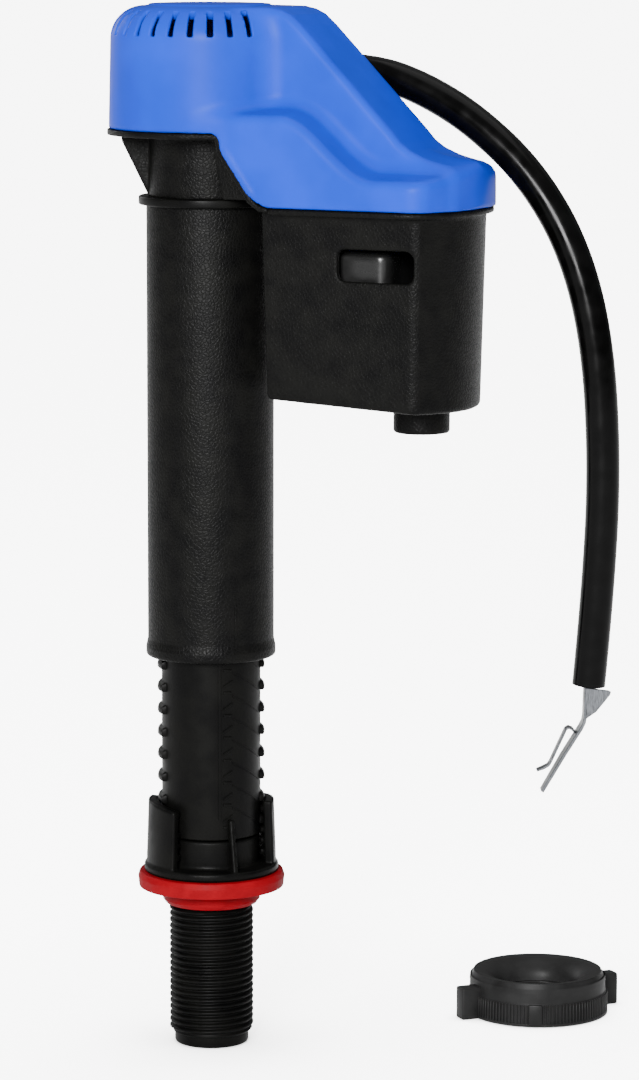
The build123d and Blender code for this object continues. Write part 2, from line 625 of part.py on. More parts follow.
def hose_radii(points):
    """The largest arc at each corner of the hose's route."""
    radii = []
    for before, here, after in zip(points, points[1:], points[2:]):
        run_in = hypot(here[0] - before[0], here[1] - before[1])
        run_out = hypot(after[0] - here[0], after[1] - here[1])
        turn = atan2(after[1] - here[1], after[0] - here[0]) - atan2(here[1] - before[1], here[0] - before[0])
        turn = abs((turn + pi) % (2 * pi) - pi)
        radii.append(0.45 * min(run_in, run_out) / tan(turn / 2))
    return radii


def refill_hose():
    """Flexible refill hose, from the nipple to the clip."""
    points = [(x, HOSE_Y, z) for x, z in HOSE_POINTS]
    radii = hose_radii(HOSE_POINTS)
    print("hose radii", [round(r, 1) for r in radii])
    path = FilletPolyline(*points, radius=radii)
    start = Plane(origin=points[0], z_dir=path % 0)
    body = sweep(start * Circle(HOSE_R), path=path)
    straight = pi * HOSE_R ** 2 * path.length
    print("hose length", round(path.length, 2), "volume ratio", round(body.volume / straight, 4))
    return body


def strip(points, half, thick):
    """A bent strip of sheet, from its side view."""
    body = None
    for (x0, z0), (x1, z1) in zip(points, points[1:]):
        length = hypot(x1 - x0, z1 - z0)
        tilt = degrees(atan2(z1 - z0, x1 - x0))
        piece = Pos((x0 + x1) / 2, HOSE_Y, (z0 + z1) / 2) * Rot(0, -tilt, 0) * Box(length, 2 * half, thick)
        joint = Pos(x1, HOSE_Y, z1) * Rot(90, 0, 0) * Cylinder(thick / 2, 2 * half)
        body = piece + joint if body is None else body + piece + joint
    return body


def hose_clip():
    """Bent sheet-steel clip that hangs the hose on an overflow pipe."""
    end_x, end_z = HOSE_POINTS[-1]
    leg = strip([(end_x - 0.9, end_z - 0.02), (end_x - 1.1, end_z - 9.8), (end_x - 12.7, end_z - 29.7)],
                CLIP_HALF, CLIP_THICK)
    tongue = strip([(end_x - 3.5, end_z - 13.5), (end_x - 6.0, end_z - 11.8), (end_x - 10.4, end_z - 21.8),
                    (end_x - 14.2, end_z - 23.9)], CLIP_HALF * 0.6, CLIP_THICK * 0.8)
    plate = across([(end_x - 1.3, end_z - 0.4), (end_x + 6.6, end_z - 1.3), (end_x + 2.0, end_z - 7.1),
                    (end_x - 1.25, end_z - 9.4)], CLIP_THICK / 2)
    plate = Pos(0, HOSE_Y - CLIP_HALF + CLIP_THICK / 2, 0) * plate
    body = leg + tongue + plate
    body -= block((end_x - 20, end_x + 20), (HOSE_Y - 20, HOSE_Y + 20), (end_z, end_z + 10))
    return Pos(end_x, HOSE_Y, 0) * Rot(0, 0, CLIP_TURN) * Pos(-end_x, -HOSE_Y, 0) * body


def lock_nut():
    """Winged nut for under the tank, made round its own axis and then set down beside the valve."""
    bore = THREAD_R - THREAD_DEPTH + 0.15
    body = disc(NUT_R, 0, NUT_HEIGHT)
    body = fillet(body.edges().group_by(Axis.Z)[-1], 1.6)
    band = ring(NUT_BAND_R, NUT_R - 1, 0, NUT_BAND)
    gap = block((NUT_BAND_R - 0.5, NUT_BAND_R + 1), (-NUT_RIB_GAP / 2, NUT_RIB_GAP / 2), (1.0, NUT_BAND + 1))
    band -= [radial(gap, 360 * step / NUT_RIBS) for step in range(NUT_RIBS)]
    body += band
    for side in (0, 180):
        wing = block((NUT_R - 2, NUT_WING), (-2.4, 2.4), (0.0, NUT_WING_TOP))
        body += radial(wing, side)
    steps = 6
    bell = []
    for step in range(steps + 1):
        turn = pi / 2 * step / steps
        bell.append((bore + NUT_BELL * (1 - cos(turn)), NUT_HEIGHT - NUT_BELL + NUT_BELL * sin(turn)))
    body -= turned([(0, bell[0][1])] + bell + [(bell[-1][0], NUT_HEIGHT + 0.5), (0, NUT_HEIGHT + 0.5)])
    body -= disc(bore, -1, NUT_HEIGHT)
    low = 0.4
    while low + THREAD_PITCH < NUT_HEIGHT - NUT_BELL - 0.2:
        middle = low + THREAD_PITCH / 2
        groove = [(bore - 0.3, low + 0.1), (THREAD_R + 0.15, middle), (bore - 0.3, low + THREAD_PITCH - 0.1)]
        body -= turned(groove)
        low += THREAD_PITCH
    return Pos(NUT_CENTRE[0], NUT_CENTRE[1], 0) * Rot(0, 0, NUT_TURN) * body


PIECES = {
    "base_shank": base_shank,
    "shank_washer": shank_washer,
    "base_o_ring": lambda: o_ring(SPIGOT_TOP - BASE_RING_DROP, SPIGOT_R),
    "rack_tube": rack_tube,
    "outer_tube": outer_tube,
    "tube_collar": tube_collar,
    "valve_body": valve_body,
    "downpipe": downpipe,
    "pipe_o_ring_lower": lambda: o_ring(PIPE_BOTTOM + PIPE_RINGS[0], PIPE_R),
    "pipe_o_ring_upper": lambda: o_ring(PIPE_BOTTOM + PIPE_RINGS[1], PIPE_R),
    "inlet_filter": inlet_filter,
    "seat_insert": seat_insert,
    "diaphragm": diaphragm,
    "bonnet": bonnet,
    "bonnet_screws": bonnet_screws,
    "pivot_pin": pivot_pin,
    "float_arm": float_arm,
    "pilot_pin": pilot_pin,
    "pilot_seal": pilot_seal,
    "float_cup": float_cup,
    "drain_ball": drain_ball,
    "float_block": float_block,
    "level_screw": level_screw,
    "cap": cap,
    "refill_nipple": refill_nipple,
    "refill_hose": refill_hose,
    "hose_clip": hose_clip,
    "lock_nut": lock_nut,
}

os.makedirs("parts", exist_ok=True)
for name, make in PIECES.items():
    export_step(make(), f"parts/{name}.step")
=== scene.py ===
import bmesh
import bpy
import math
import numpy as np
from mathutils import Matrix, Vector


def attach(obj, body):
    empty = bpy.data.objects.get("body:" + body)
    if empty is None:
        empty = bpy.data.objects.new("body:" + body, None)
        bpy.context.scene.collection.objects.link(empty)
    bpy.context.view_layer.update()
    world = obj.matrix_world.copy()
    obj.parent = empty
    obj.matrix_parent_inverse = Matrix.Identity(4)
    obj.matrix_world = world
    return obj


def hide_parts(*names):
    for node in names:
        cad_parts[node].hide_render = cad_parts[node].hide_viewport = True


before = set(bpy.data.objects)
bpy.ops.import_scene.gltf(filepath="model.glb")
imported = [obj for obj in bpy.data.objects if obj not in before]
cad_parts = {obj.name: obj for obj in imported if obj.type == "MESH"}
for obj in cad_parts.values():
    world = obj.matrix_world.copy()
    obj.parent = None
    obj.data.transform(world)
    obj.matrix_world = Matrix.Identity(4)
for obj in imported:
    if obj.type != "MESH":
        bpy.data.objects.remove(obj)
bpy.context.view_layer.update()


# ---- Shank and base --------------------------------------------------------------------------
# One black polypropylene moulding: the threaded shank that goes through the tank's floor, the
# base disc above it, the spigot and the two curved walls that hold the rack tube's lugs.
# The thread and the walls come straight from the mould, so every edge is slightly rounded.
MM = 0.001


def mesh_object(name, points, faces, finish, sharp=40):
    """A mesh object from points in millimetres, smooth except at edges sharper than an angle."""
    mesh = bpy.data.meshes.new(name)
    mesh.from_pydata([tuple(p) for p in np.asarray(points, float) * MM], [], [tuple(f) for f in faces])
    mesh.validate()
    shell = bmesh.new()
    shell.from_mesh(mesh)
    bmesh.ops.recalc_face_normals(shell, faces=shell.faces)
    if shell.calc_volume(signed=True) < 0:
        bmesh.ops.reverse_faces(shell, faces=shell.faces)
    shell.to_mesh(mesh)
    shell.free()
    mesh.shade_smooth()
    if sharp:
        mesh.set_sharp_from_angle(angle=math.radians(sharp))
    mesh.materials.append(finish)
    piece = bpy.data.objects.new(name, mesh)
    bpy.context.scene.collection.objects.link(piece)
    return piece


def linear(code):
    """A six-digit sRGB colour as the linear colour that a shader takes."""
    parts = [int(code[i:i + 2], 16) / 255 for i in (1, 3, 5)]
    return (*[c / 12.92 if c <= 0.04045 else ((c + 0.055) / 1.055) ** 2.4 for c in parts], 1.0)


def add(tree, kind, links=None, **settings):
    """Adds a node. links gives each input a value or another node's output."""
    node = tree.nodes.new(kind)
    for key, value in settings.items():
        setattr(node, key, value)
    for key, value in (links or {}).items():
        if isinstance(value, bpy.types.NodeSocket):
            tree.links.new(value, node.inputs[key])
        else:
            node.inputs[key].default_value = value
    return node


def new_finish(name, base, rough, ior=1.5, metal=0.0, specular=0.5):
    """A material with its shader's even values set, and the object's own coordinates in mm."""
    material = bpy.data.materials.new(name)
    material.use_nodes = True
    material.diffuse_color = linear(base)
    tree = material.node_tree
    shader = tree.nodes["Principled BSDF"]
    values = {"Base Color": linear(base), "Roughness": rough, "IOR": ior, "Metallic": metal,
              "Specular IOR Level": specular}
    for key, value in values.items():
        shader.inputs[key].default_value = value
    place = add(tree, "ShaderNodeTexCoord")
    scale = add(tree, "ShaderNodeVectorMath", {0: place.outputs["Object"], 1: (1 / MM,) * 3},
                operation="MULTIPLY")
    return material, tree, shader, scale.outputs["Vector"]


def noise(tree, where, size, detail=3.0):
    """A noise pattern whose marks are about this many millimetres across."""
    links = {"Vector": where, "Scale": 1 / size, "Detail": detail}
    return add(tree, "ShaderNodeTexNoise", links).outputs["Fac"]


def spread(tree, value, low, high, start=0.35, end=0.65):
    """Takes a pattern's middle range to another range."""
    links = {"Value": value, "From Min": start, "From Max": end, "To Min": low, "To Max": high}
    return add(tree, "ShaderNodeMapRange", links).outputs["Result"]


def colour_socket(sockets, name):
    """The mix node's colour sockets share their names with its number sockets."""
    return [s for s in sockets if s.name == name and s.type == "RGBA"][0]


def shade(tree, value, dark, light):
    """A colour between two, by a value from 0 to 1."""
    node = add(tree, "ShaderNodeMix", {"Factor": value}, data_type="RGBA")
    colour_socket(node.inputs, "A").default_value = linear(dark)
    colour_socket(node.inputs, "B").default_value = linear(light)
    return colour_socket(node.outputs, "Result")


def clouded(tree, shader, pattern, dark, light):
    """Gives a shader a colour that drifts between two with a pattern."""
    tree.links.new(shade(tree, spread(tree, pattern, 0.0, 1.0), dark, light), shader.inputs["Base Color"])


def roughened(tree, shader, value):
    """Gives a shader a roughness that follows a pattern."""
    tree.links.new(value, shader.inputs["Roughness"])


def emboss(tree, shader, height, depth, strength=1.0, under=None):
    """A bump of this many millimetres, over another one if given."""
    links = {"Height": height, "Distance": depth * MM, "Strength": strength}
    if under is not None:
        links["Normal"] = under
    bump = add(tree, "ShaderNodeBump", links)
    tree.links.new(bump.outputs["Normal"], shader.inputs["Normal"])
    return bump.outputs["Normal"]


def moulded_black():
    """Polypropylene from a spark-eroded mould: near black, a fine 0.4 mm grain, a soft wide gloss."""
    material, tree, shader, where = new_finish("moulded_black_polypropylene", "#060606", 0.4, 1.49,
                                               specular=0.05)
    grain = noise(tree, where, 0.45, 2.0)
    cloud = noise(tree, where, 9.0)
    roughened(tree, shader, spread(tree, cloud, 0.34, 0.5))
    clouded(tree, shader, cloud, "#040404", "#080807")
    emboss(tree, shader, grain, 0.05, 0.5)
    return material


def trimmed(a, b, r=0.0):
    """Where two forms overlap, with their outer edge rounded to a radius."""
    if not r:
        return np.maximum(a, b)
    return np.minimum(-r, np.maximum(a, b)) + np.hypot(np.maximum(a + r, 0), np.maximum(b + r, 0))


def slab(value, low, high):
    """Between two planes."""
    return np.abs(value - (low + high) / 2) - (high - low) / 2


def joined(a, b, r=0.0):
    """Two forms together, with their inner corner filled to a radius."""
    if not r:
        return np.minimum(a, b)
    return np.maximum(r, np.minimum(a, b)) - np.hypot(np.maximum(r - a, 0), np.maximum(r - b, 0))


def outline(u, v, corners):
    """Signed distance to an outline with straight sides, less than 0 inside it."""
    nearest = np.full(u.shape, 1e9)
    side = np.ones(u.shape)
    for i, (au, av) in enumerate(corners):
        bu, bv = corners[i - 1]
        eu, ev = bu - au, bv - av
        wu, wv = u - au, v - av
        along = np.clip((wu * eu + wv * ev) / (eu * eu + ev * ev), 0, 1)
        nearest = np.minimum(nearest, (wu - eu * along) ** 2 + (wv - ev * along) ** 2)
        above, below = v >= av, v < bv
        left = eu * wv > ev * wu
        flip = (above & below & left) | (~above & ~below & ~left)
        side = np.where(flip, -side, side)
    return side * np.sqrt(nearest)


def skin(form, low, high, cell):
    """Points and four-sided faces of the surface where a form is 0, in millimetres."""
    axes = [np.arange(a - cell * 1.5, b + cell * 2.5, cell) for a, b in zip(low, high)]
    start = np.array([axis[0] for axis in axes])
    value = form(*np.meshgrid(*axes, indexing="ij"))
    inside = value < 0
    room = np.array(value.shape) - 1
    count = np.zeros(room, np.int8)
    for i in (0, 1):
        for j in (0, 1):
            for k in (0, 1):
                count += inside[i:i + room[0], j:j + room[1], k:k + room[2]]
    crossed = (count > 0) & (count < 8)
    number = np.full(room, -1)
    number[crossed] = np.arange(int(crossed.sum()))
    cells = np.argwhere(crossed)
    total, hits = np.zeros((len(cells), 3)), np.zeros(len(cells))
    for axis in range(3):
        step = np.eye(3, dtype=int)[axis]
        for a in (0, 1):
            for b in (0, 1):
                first = cells + np.insert([a, b], axis, 0)
                near, far = value[tuple(first.T)], value[tuple((first + step).T)]
                cross = (near < 0) != (far < 0)
                spot = first[cross] + step * (near[cross] / (near[cross] - far[cross]))[:, None]
                total[cross] += spot
                hits[cross] += 1
    points = start + cell * total / hits[:, None]
    home = points.copy()
    reach, rounds, least_slope = cell * 0.08, 3, 0.04
    for _ in range(rounds):
        here = form(*points.T)
        slope = np.stack([(form(*(points + reach * e).T) - form(*(points - reach * e).T)) / (2 * reach)
                          for e in np.eye(3)], 1)
        move = slope * (here / np.maximum((slope ** 2).sum(1), least_slope))[:, None]
        points = home + np.clip(points - move - home, -cell * 0.6, cell * 0.6)
    faces = []
    for axis in range(3):
        one, two = (axis + 1) % 3, (axis + 2) % 3
        here = np.take(inside, range(0, room[axis]), axis)
        there = np.take(inside, range(1, room[axis] + 1), axis)
        spots = np.argwhere(here != there)
        for across in (one, two):
            spots = spots[(spots[:, across] > 0) & (spots[:, across] < room[across])]
        back_one, back_two = np.eye(3, dtype=int)[one], np.eye(3, dtype=int)[two]
        ring = [spots, spots - back_one, spots - back_one - back_two, spots - back_two]
        quads = np.stack([number[tuple(s.T)] for s in ring], 1)
        out = here[tuple(spots.T)]
        faces.append(np.where(out[:, None], quads, quads[:, ::-1]))
    return points, np.concatenate(faces)


def moulded(name, form, low, high, cell, finish):
    """A moulded piece from its form, with a wall or edge no finer than its cell."""
    points, faces = skin(form, low, high, cell)
    mesh = bpy.data.meshes.new(name)
    mesh.vertices.add(len(points))
    mesh.vertices.foreach_set("co", (points * MM).ravel())
    mesh.loops.add(len(faces) * 4)
    mesh.loops.foreach_set("vertex_index", faces.ravel())
    mesh.polygons.add(len(faces))
    mesh.polygons.foreach_set("loop_start", np.arange(0, len(faces) * 4, 4))
    mesh.update(calc_edges=True)
    mesh.validate()
    mesh.shade_smooth()
    mesh.materials.append(finish)
    piece = bpy.data.objects.new(name, mesh)
    bpy.context.scene.collection.objects.link(piece)
    return piece


def turned(name, section, finish, sides=128, sharp=40):
    """A closed outline, turned round the riser. section(angle) gives its (radius, height) points."""
    rings = [section(2 * math.pi * i / sides) for i in range(sides)]
    size = len(rings[0])
    points = [(r * math.cos(2 * math.pi * i / sides), r * math.sin(2 * math.pi * i / sides), z)
              for i, ring in enumerate(rings) for r, z in ring]
    faces = []
    for i in range(sides):
        a, b = i * size, (i + 1) % sides * size
        faces += [(a + j, b + j, b + (j + 1) % size, a + (j + 1) % size) for j in range(size)]
    return mesh_object(name, points, faces, finish, sharp)


def rounded(corners, radii, steps=4):
    """An outline whose corners are rounded, each to its own radius."""
    path = []
    for i, (here, radius) in enumerate(zip(corners, radii)):
        here = Vector(here)
        back = (Vector(corners[i - 1]) - here)
        on = (Vector(corners[(i + 1) % len(corners)]) - here)
        if not radius:
            path.append(tuple(here))
            continue
        half = back.angle(on) / 2
        cut = min(radius / math.tan(half), back.length * 0.49, on.length * 0.49)
        start, end = here + back.normalized() * cut, here + on.normalized() * cut
        for step in range(steps + 1):
            t = step / steps
            path.append(tuple((1 - t) ** 2 * start + 2 * t * (1 - t) * here + t ** 2 * end))
    return path


def finished(piece, body, slot, *nodes):
    """Attaches a piece to its body and hides the CAD nodes that it stands for. The slot is not used."""
    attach(piece, body)
    if nodes:
        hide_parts(*nodes)


black_plastic = moulded_black()
THREAD_CREST, THREAD_ROOT, THREAD_PITCH = 11.9, 10.9, 1.814
THREAD_START, THREAD_END, TIP_R, NECK_R = 3.2, 40.6, 10.5, 11.4
INLET_R, INLET_DEPTH, BORE_R = 8.0, 29.5, 7.0
BASE_R, BASE_LOW, BASE_TOP = 19.0, 50.0, 52.5
PEDESTAL_R, PEDESTAL_TOP, SPIGOT_R, SPIGOT_TOP = 13.6, 60.5, 9.0, 78.0
RING_GROOVE_R, RING_GROOVE_LOW, RING_GROOVE_TOP = 8.17, 70.5, 73.5
WALL_R, WALL_HALF_THICK, WALL_TOP, WALL_TOP_RISE, WALL_LEAN = 17.1, 1.3, 70.6, 1.4, 0.035
WALL_HEADING, WALL_HALF_TURN, STOP_BEHIND = math.radians(45), math.radians(36), math.radians(86)
RUNG_R, RUNG_HALF_DEEP, RUNG_TALL, RUNG_HEIGHTS = 15.45, 1.1, 1.6, (55.0, 58.2, 61.4, 67.4)
STOP_HALF_THICK = 0.7


def thread_radius(height, angle, start, end, crest, root):
    """Radius of a right-hand thread with a rounded crest and root, fading out at both ends."""
    phase = (height / THREAD_PITCH - angle / (2 * math.pi)) % 1
    tooth = min(1, max(0, 1.35 * (0.5 + 0.5 * math.cos(2 * math.pi * phase)) - 0.12))
    fade = min(1, max(0, (height - start) / 1.2)) * min(1, max(0, (end - height) / 1.2))
    return root + (crest - root) * tooth * fade


def shank_section(angle):
    """Outline of the shank at one heading: plain tip, thread, neck and the supply bore."""
    rows = np.arange(THREAD_START + 0.1, THREAD_END, THREAD_PITCH / 11)
    tip = [(TIP_R - 1.6, 0.0), (TIP_R - 0.6, 0.05), (TIP_R - 0.15, 0.35), (TIP_R, 0.9)]
    tip.append((TIP_R, THREAD_START - 0.1))
    thread = [(thread_radius(z, angle, THREAD_START, THREAD_END, THREAD_CREST, THREAD_ROOT), z) for z in rows]
    neck = [(NECK_R, THREAD_END + 0.3), (NECK_R, BASE_LOW + 0.5)]
    bore = [(BORE_R, BASE_LOW + 0.5), (BORE_R, INLET_DEPTH + 1), (INLET_R, INLET_DEPTH), (INLET_R, 0.5)]
    return tip + thread + neck + bore


def base_form(x, y, z):
    """Base disc, pedestal, spigot, lock walls with their rungs and stop ribs."""
    r = np.hypot(x, y)
    heading = np.arctan2(y, x)
    form = trimmed(r - BASE_R, slab(z, BASE_LOW, BASE_TOP), 0.7)
    form = joined(form, trimmed(r - PEDESTAL_R, slab(z, BASE_TOP - 1, PEDESTAL_TOP), 0.5), 0.8)
    form = joined(form, trimmed(r - SPIGOT_R, slab(z, BASE_LOW, SPIGOT_TOP), 0.5), 0.8)
    lean = (z - BASE_TOP) * WALL_LEAN
    for turn in (WALL_HEADING, WALL_HEADING + math.pi):
        off = (heading - turn + math.pi) % (2 * math.pi) - math.pi
        arc = (np.abs(off) - WALL_HALF_TURN) * np.maximum(r, 8)
        top = z - (WALL_TOP + WALL_TOP_RISE * np.clip(-off / WALL_HALF_TURN, -1, 1))
        wall = trimmed(np.abs(r - WALL_R + lean) - WALL_HALF_THICK, top, 0.5)
        form = joined(form, trimmed(wall, np.maximum(arc, BASE_LOW + 0.5 - z), 0.5), 0.5)
        for low in RUNG_HEIGHTS:
            ends = np.maximum(slab(z, low, low + RUNG_TALL), arc + 0.2)
            form = joined(form, trimmed(np.abs(r - RUNG_R) - RUNG_HALF_DEEP, ends, 0.3), 0.2)
        u = x * math.cos(turn - STOP_BEHIND) + y * math.sin(turn - STOP_BEHIND)
        v = -x * math.sin(turn - STOP_BEHIND) + y * math.cos(turn - STOP_BEHIND)
        side = outline(u, z, [(14.3, 52), (18.6, 52), (15.6, 67), (14.3, 67)])
        form = joined(form, trimmed(side, np.abs(v) - STOP_HALF_THICK, 0.3), 0.3)
    groove = trimmed(slab(z, RING_GROOVE_LOW, RING_GROOVE_TOP), RING_GROOVE_R - r)
    return trimmed(trimmed(form, -groove, 0.2), BORE_R - r, 0.3)


shank = turned("shank_thread", shank_section, black_plastic, 144, 60)
finished(shank, "base", "black_plastic", "base_shank")
base = moulded("base_and_lock_walls", base_form, (-19.2, -19.2, 49.8), (19.2, 19.2, 78.3), 0.5, black_plastic)
finished(base, "base", "black_plastic", "base_shank")


# ---- Shank washer ----------------------------------------------------------------------------
# Soft red rubber, moulded in one piece: a thick flange that seals on the tank's floor, and a
# step below it that centres in the tank's hole. It is stretched over the shank's neck.
WASHER_SECTION = [(11.45, 40.7), (12.9, 40.7), (13.8, 41.9), (13.8, 45.4), (20.5, 45.5), (20.8, 48.4),
                  (20.3, 50.0), (19.2, 50.05), (11.45, 49.9)]


def red_rubber():
    """Compression-moulded rubber: matt, slightly cloudy red with a dusty bloom and tiny pits."""
    material, tree, shader, where = new_finish("moulded_red_rubber", "#6C020C", 0.55, 1.52, specular=0.04)
    cloud = noise(tree, where, 4.0, 4.0)
    clouded(tree, shader, cloud, "#66020B", "#72030E")
    roughened(tree, shader, spread(tree, cloud, 0.48, 0.64))
    emboss(tree, shader, noise(tree, where, 0.5), 0.04, 0.5)
    return material


washer_outline = rounded(WASHER_SECTION, [0, 0.4, 0.5, 0.3, 0.5, 1.0, 0.5, 0.4, 0])
washer = turned("shank_washer_rubber", lambda angle: washer_outline, red_rubber())
finished(washer, "base", "red_rubber", "shank_washer")


# ---- Rack tube -------------------------------------------------------------------------------
# Black polypropylene tube that the base grips at the chosen height. Two opposite columns of
# half-round lugs hook under the base's rungs. A thin rib, a column of raised marks and faint
# slanting ribs are moulded on its front.
RACK_LOW, RACK_TOP, RACK_R, RACK_BORE_R = 61.0, 186.0, 13.95, 11.0
LUG_PITCH, LUG_FIRST, LUG_ROWS, LUG_HEADING = 6.4, 63.7, 19, 34


def repeat_tree():
    """Geometry nodes that set copies of one template in rows and columns round the riser."""
    tree = bpy.data.node_groups.new("rows_round_the_riser", "GeometryNodeTree")
    for name, kind in (("Template", "Object"), ("Finish", "Material"), ("Columns", "Int"), ("Rows", "Int"),
                       ("First heading", "Float"), ("Heading step", "Float"), ("Rise", "Float")):
        tree.interface.new_socket(name, in_out="INPUT", socket_type="NodeSocket" + kind)
    tree.interface.new_socket("Pieces", in_out="OUTPUT", socket_type="NodeSocketGeometry")
    given = add(tree, "NodeGroupInput").outputs
    total = add(tree, "ShaderNodeMath", {0: given["Columns"], 1: given["Rows"]}, operation="MULTIPLY")
    index = add(tree, "GeometryNodeInputIndex").outputs[0]
    share = add(tree, "ShaderNodeMath", {0: index, 1: given["Columns"]}, operation="DIVIDE")
    row = add(tree, "ShaderNodeMath", {0: share.outputs[0]}, operation="FLOOR").outputs[0]
    column = add(tree, "ShaderNodeMath", {0: index, 1: given["Columns"]}, operation="MODULO").outputs[0]
    height = add(tree, "ShaderNodeMath", {0: row, 1: given["Rise"]}, operation="MULTIPLY").outputs[0]
    heading = add(tree, "ShaderNodeMath", {0: column, 1: given["Heading step"], 2: given["First heading"]},
                  operation="MULTIPLY_ADD").outputs[0]
    spot = add(tree, "ShaderNodeCombineXYZ", {"Z": height}).outputs[0]
    turn = add(tree, "ShaderNodeCombineXYZ", {"Z": heading}).outputs[0]
    dots = add(tree, "GeometryNodePoints", {"Count": total.outputs[0], "Position": spot}).outputs[0]
    shape = add(tree, "GeometryNodeObjectInfo", {"Object": given["Template"]}).outputs["Geometry"]
    copies = add(tree, "GeometryNodeInstanceOnPoints", {"Points": dots, "Instance": shape, "Rotation": turn})
    solid = add(tree, "GeometryNodeRealizeInstances", {"Geometry": copies.outputs[0]}).outputs[0]
    done = add(tree, "GeometryNodeSetMaterial", {"Geometry": solid, "Material": given["Finish"]}).outputs[0]
    add(tree, "NodeGroupOutput", {"Pieces": done})
    return tree


rows_round_the_riser = repeat_tree()


def settled(piece):
    """The piece's mesh as its modifiers leave it, with the modifiers removed."""
    bpy.context.view_layer.update()
    mesh = bpy.data.meshes.new_from_object(piece.evaluated_get(bpy.context.evaluated_depsgraph_get()))
    piece.modifiers.clear()
    piece.data = mesh
    return piece


def repeated(name, template, finish, columns, rows, first, step, rise=0.0):
    """Copies of a template, headings in degrees and the rise from row to row in millimetres."""
    piece = bpy.data.objects.new(name, bpy.data.meshes.new(name))
    bpy.context.scene.collection.objects.link(piece)
    modifier = piece.modifiers.new("rows", "NODES")
    modifier.node_group = rows_round_the_riser
    values = {"Template": template, "Finish": finish, "Columns": columns, "Rows": rows,
              "First heading": math.radians(first), "Heading step": math.radians(step), "Rise": rise * MM}
    for item in rows_round_the_riser.interface.items_tree:
        if item.in_out == "INPUT":
            modifier[item.identifier] = values[item.name]
    settled(piece)
    bpy.data.objects.remove(template)
    return piece


def swept_lug(half_turn, steps=14):
    """A lug with a flat underside and a round back, along an arc of the tube."""
    section = [(13.6, 0.0), (14.9, 0.0), (15.1, 0.25), (15.12, 1.1), (14.95, 1.75), (14.55, 2.3), (13.6, 2.9)]
    points, faces = [], []
    for i in range(steps + 1):
        share = 2 * i / steps - 1
        angle = math.radians(half_turn * share)
        sink = max(0.0, (abs(share) - 0.86) / 0.14) ** 2 * 1.1
        for r, z in section:
            reach = r - sink if r > 13.7 else r
            points.append((reach * math.cos(angle), reach * math.sin(angle), z))
    size = len(section)
    for i in range(steps):
        here, there = i * size, (i + 1) * size
        faces += [(here + j, there + j, there + (j + 1) % size, here + (j + 1) % size) for j in range(size)]
    faces += [tuple(range(size)), tuple(steps * size + j for j in reversed(range(size)))]
    return [(x, y, z + LUG_FIRST) for x, y, z in points], faces


def soft_box(x, y, z, edge, steps=2):
    """Points and faces of a box with rounded edges, from three (low, high) pairs."""
    box = bmesh.new()
    bmesh.ops.create_cube(box, size=1)
    for v in box.verts:
        v.co = [pair[0] + (pair[1] - pair[0]) * (c + 0.5) for pair, c in zip((x, y, z), v.co)]
    bmesh.ops.bevel(box, geom=box.edges, offset=edge, segments=steps, profile=0.5, affect="EDGES")
    points = [tuple(v.co) for v in box.verts]
    faces = [tuple(v.index for v in f.verts) for f in box.faces]
    box.free()
    return points, faces


def turned_by(points, angle):
    """Points turned about the riser, the angle in degrees."""
    turn = Matrix.Rotation(math.radians(angle), 3, "Z")
    return [tuple(turn @ Vector(p)) for p in points]


def slanting_rib(start, end, low, high, radius, half_wide, proud):
    """A low rib that climbs round a tube between two headings."""
    points, faces, steps = [], [], 12
    for i in range(steps + 1):
        t = i / steps
        angle = math.radians(start + (end - start) * t)
        middle = low + (high - low) * t
        for r, up in ((radius - 0.3, -half_wide), (radius + proud, -half_wide * 0.4),
                      (radius + proud, half_wide * 0.4), (radius - 0.3, half_wide)):
            points.append((r * math.cos(angle), r * math.sin(angle), middle + up))
    for i in range(steps):
        faces += [(4 * i + j, 4 * i + 4 + j, 4 * i + 4 + (j + 1) % 4, 4 * i + (j + 1) % 4) for j in range(4)]
    faces += [(0, 1, 2, 3), (4 * steps + 3, 4 * steps + 2, 4 * steps + 1, 4 * steps)]
    return points, faces


rack_outline = rounded([(RACK_R, RACK_LOW), (RACK_R, RACK_TOP), (RACK_BORE_R, RACK_TOP),
                        (RACK_BORE_R, RACK_LOW)], [0.5, 0.5, 0.4, 0.4])
rack = turned("rack_tube_wall", lambda angle: rack_outline, black_plastic)
lug = mesh_object("lug", *swept_lug(19), black_plastic, 50)
lugs = repeated("rack_lugs", lug, black_plastic, 2, LUG_ROWS, LUG_HEADING, 180, LUG_PITCH)
mark = mesh_object("mark", *soft_box((13.5, 14.25), (-1.3, 1.2), (64.3, 65.1), 0.2), black_plastic)
marks = repeated("rack_marks", mark, black_plastic, 1, LUG_ROWS, -43.7, 0, LUG_PITCH)
hook = mesh_object("hook", *slanting_rib(-49, -38, 66.4, 68.0, RACK_R, 0.55, 0.28), black_plastic)
hooks = repeated("rack_hooks", hook, black_plastic, 1, LUG_ROWS - 1, 0, 0, LUG_PITCH)
slant = mesh_object("slant", *slanting_rib(-38, 8, 70.2, 64.2, RACK_R, 0.5, 0.14), black_plastic)
slants = repeated("rack_slanting_ribs", slant, black_plastic, 1, LUG_ROWS - 1, 0, 0, LUG_PITCH)
rib_points, rib_faces = soft_box((13.4, 14.24), (-0.45, 0.45), (67.0, 184.0), 0.1)
rib = mesh_object("rack_rib", turned_by(rib_points, -53), rib_faces, black_plastic)
for piece in (rack, lugs, marks, hooks, slants, rib):
    finished(piece, "rack", "black_plastic", "rack_tube")


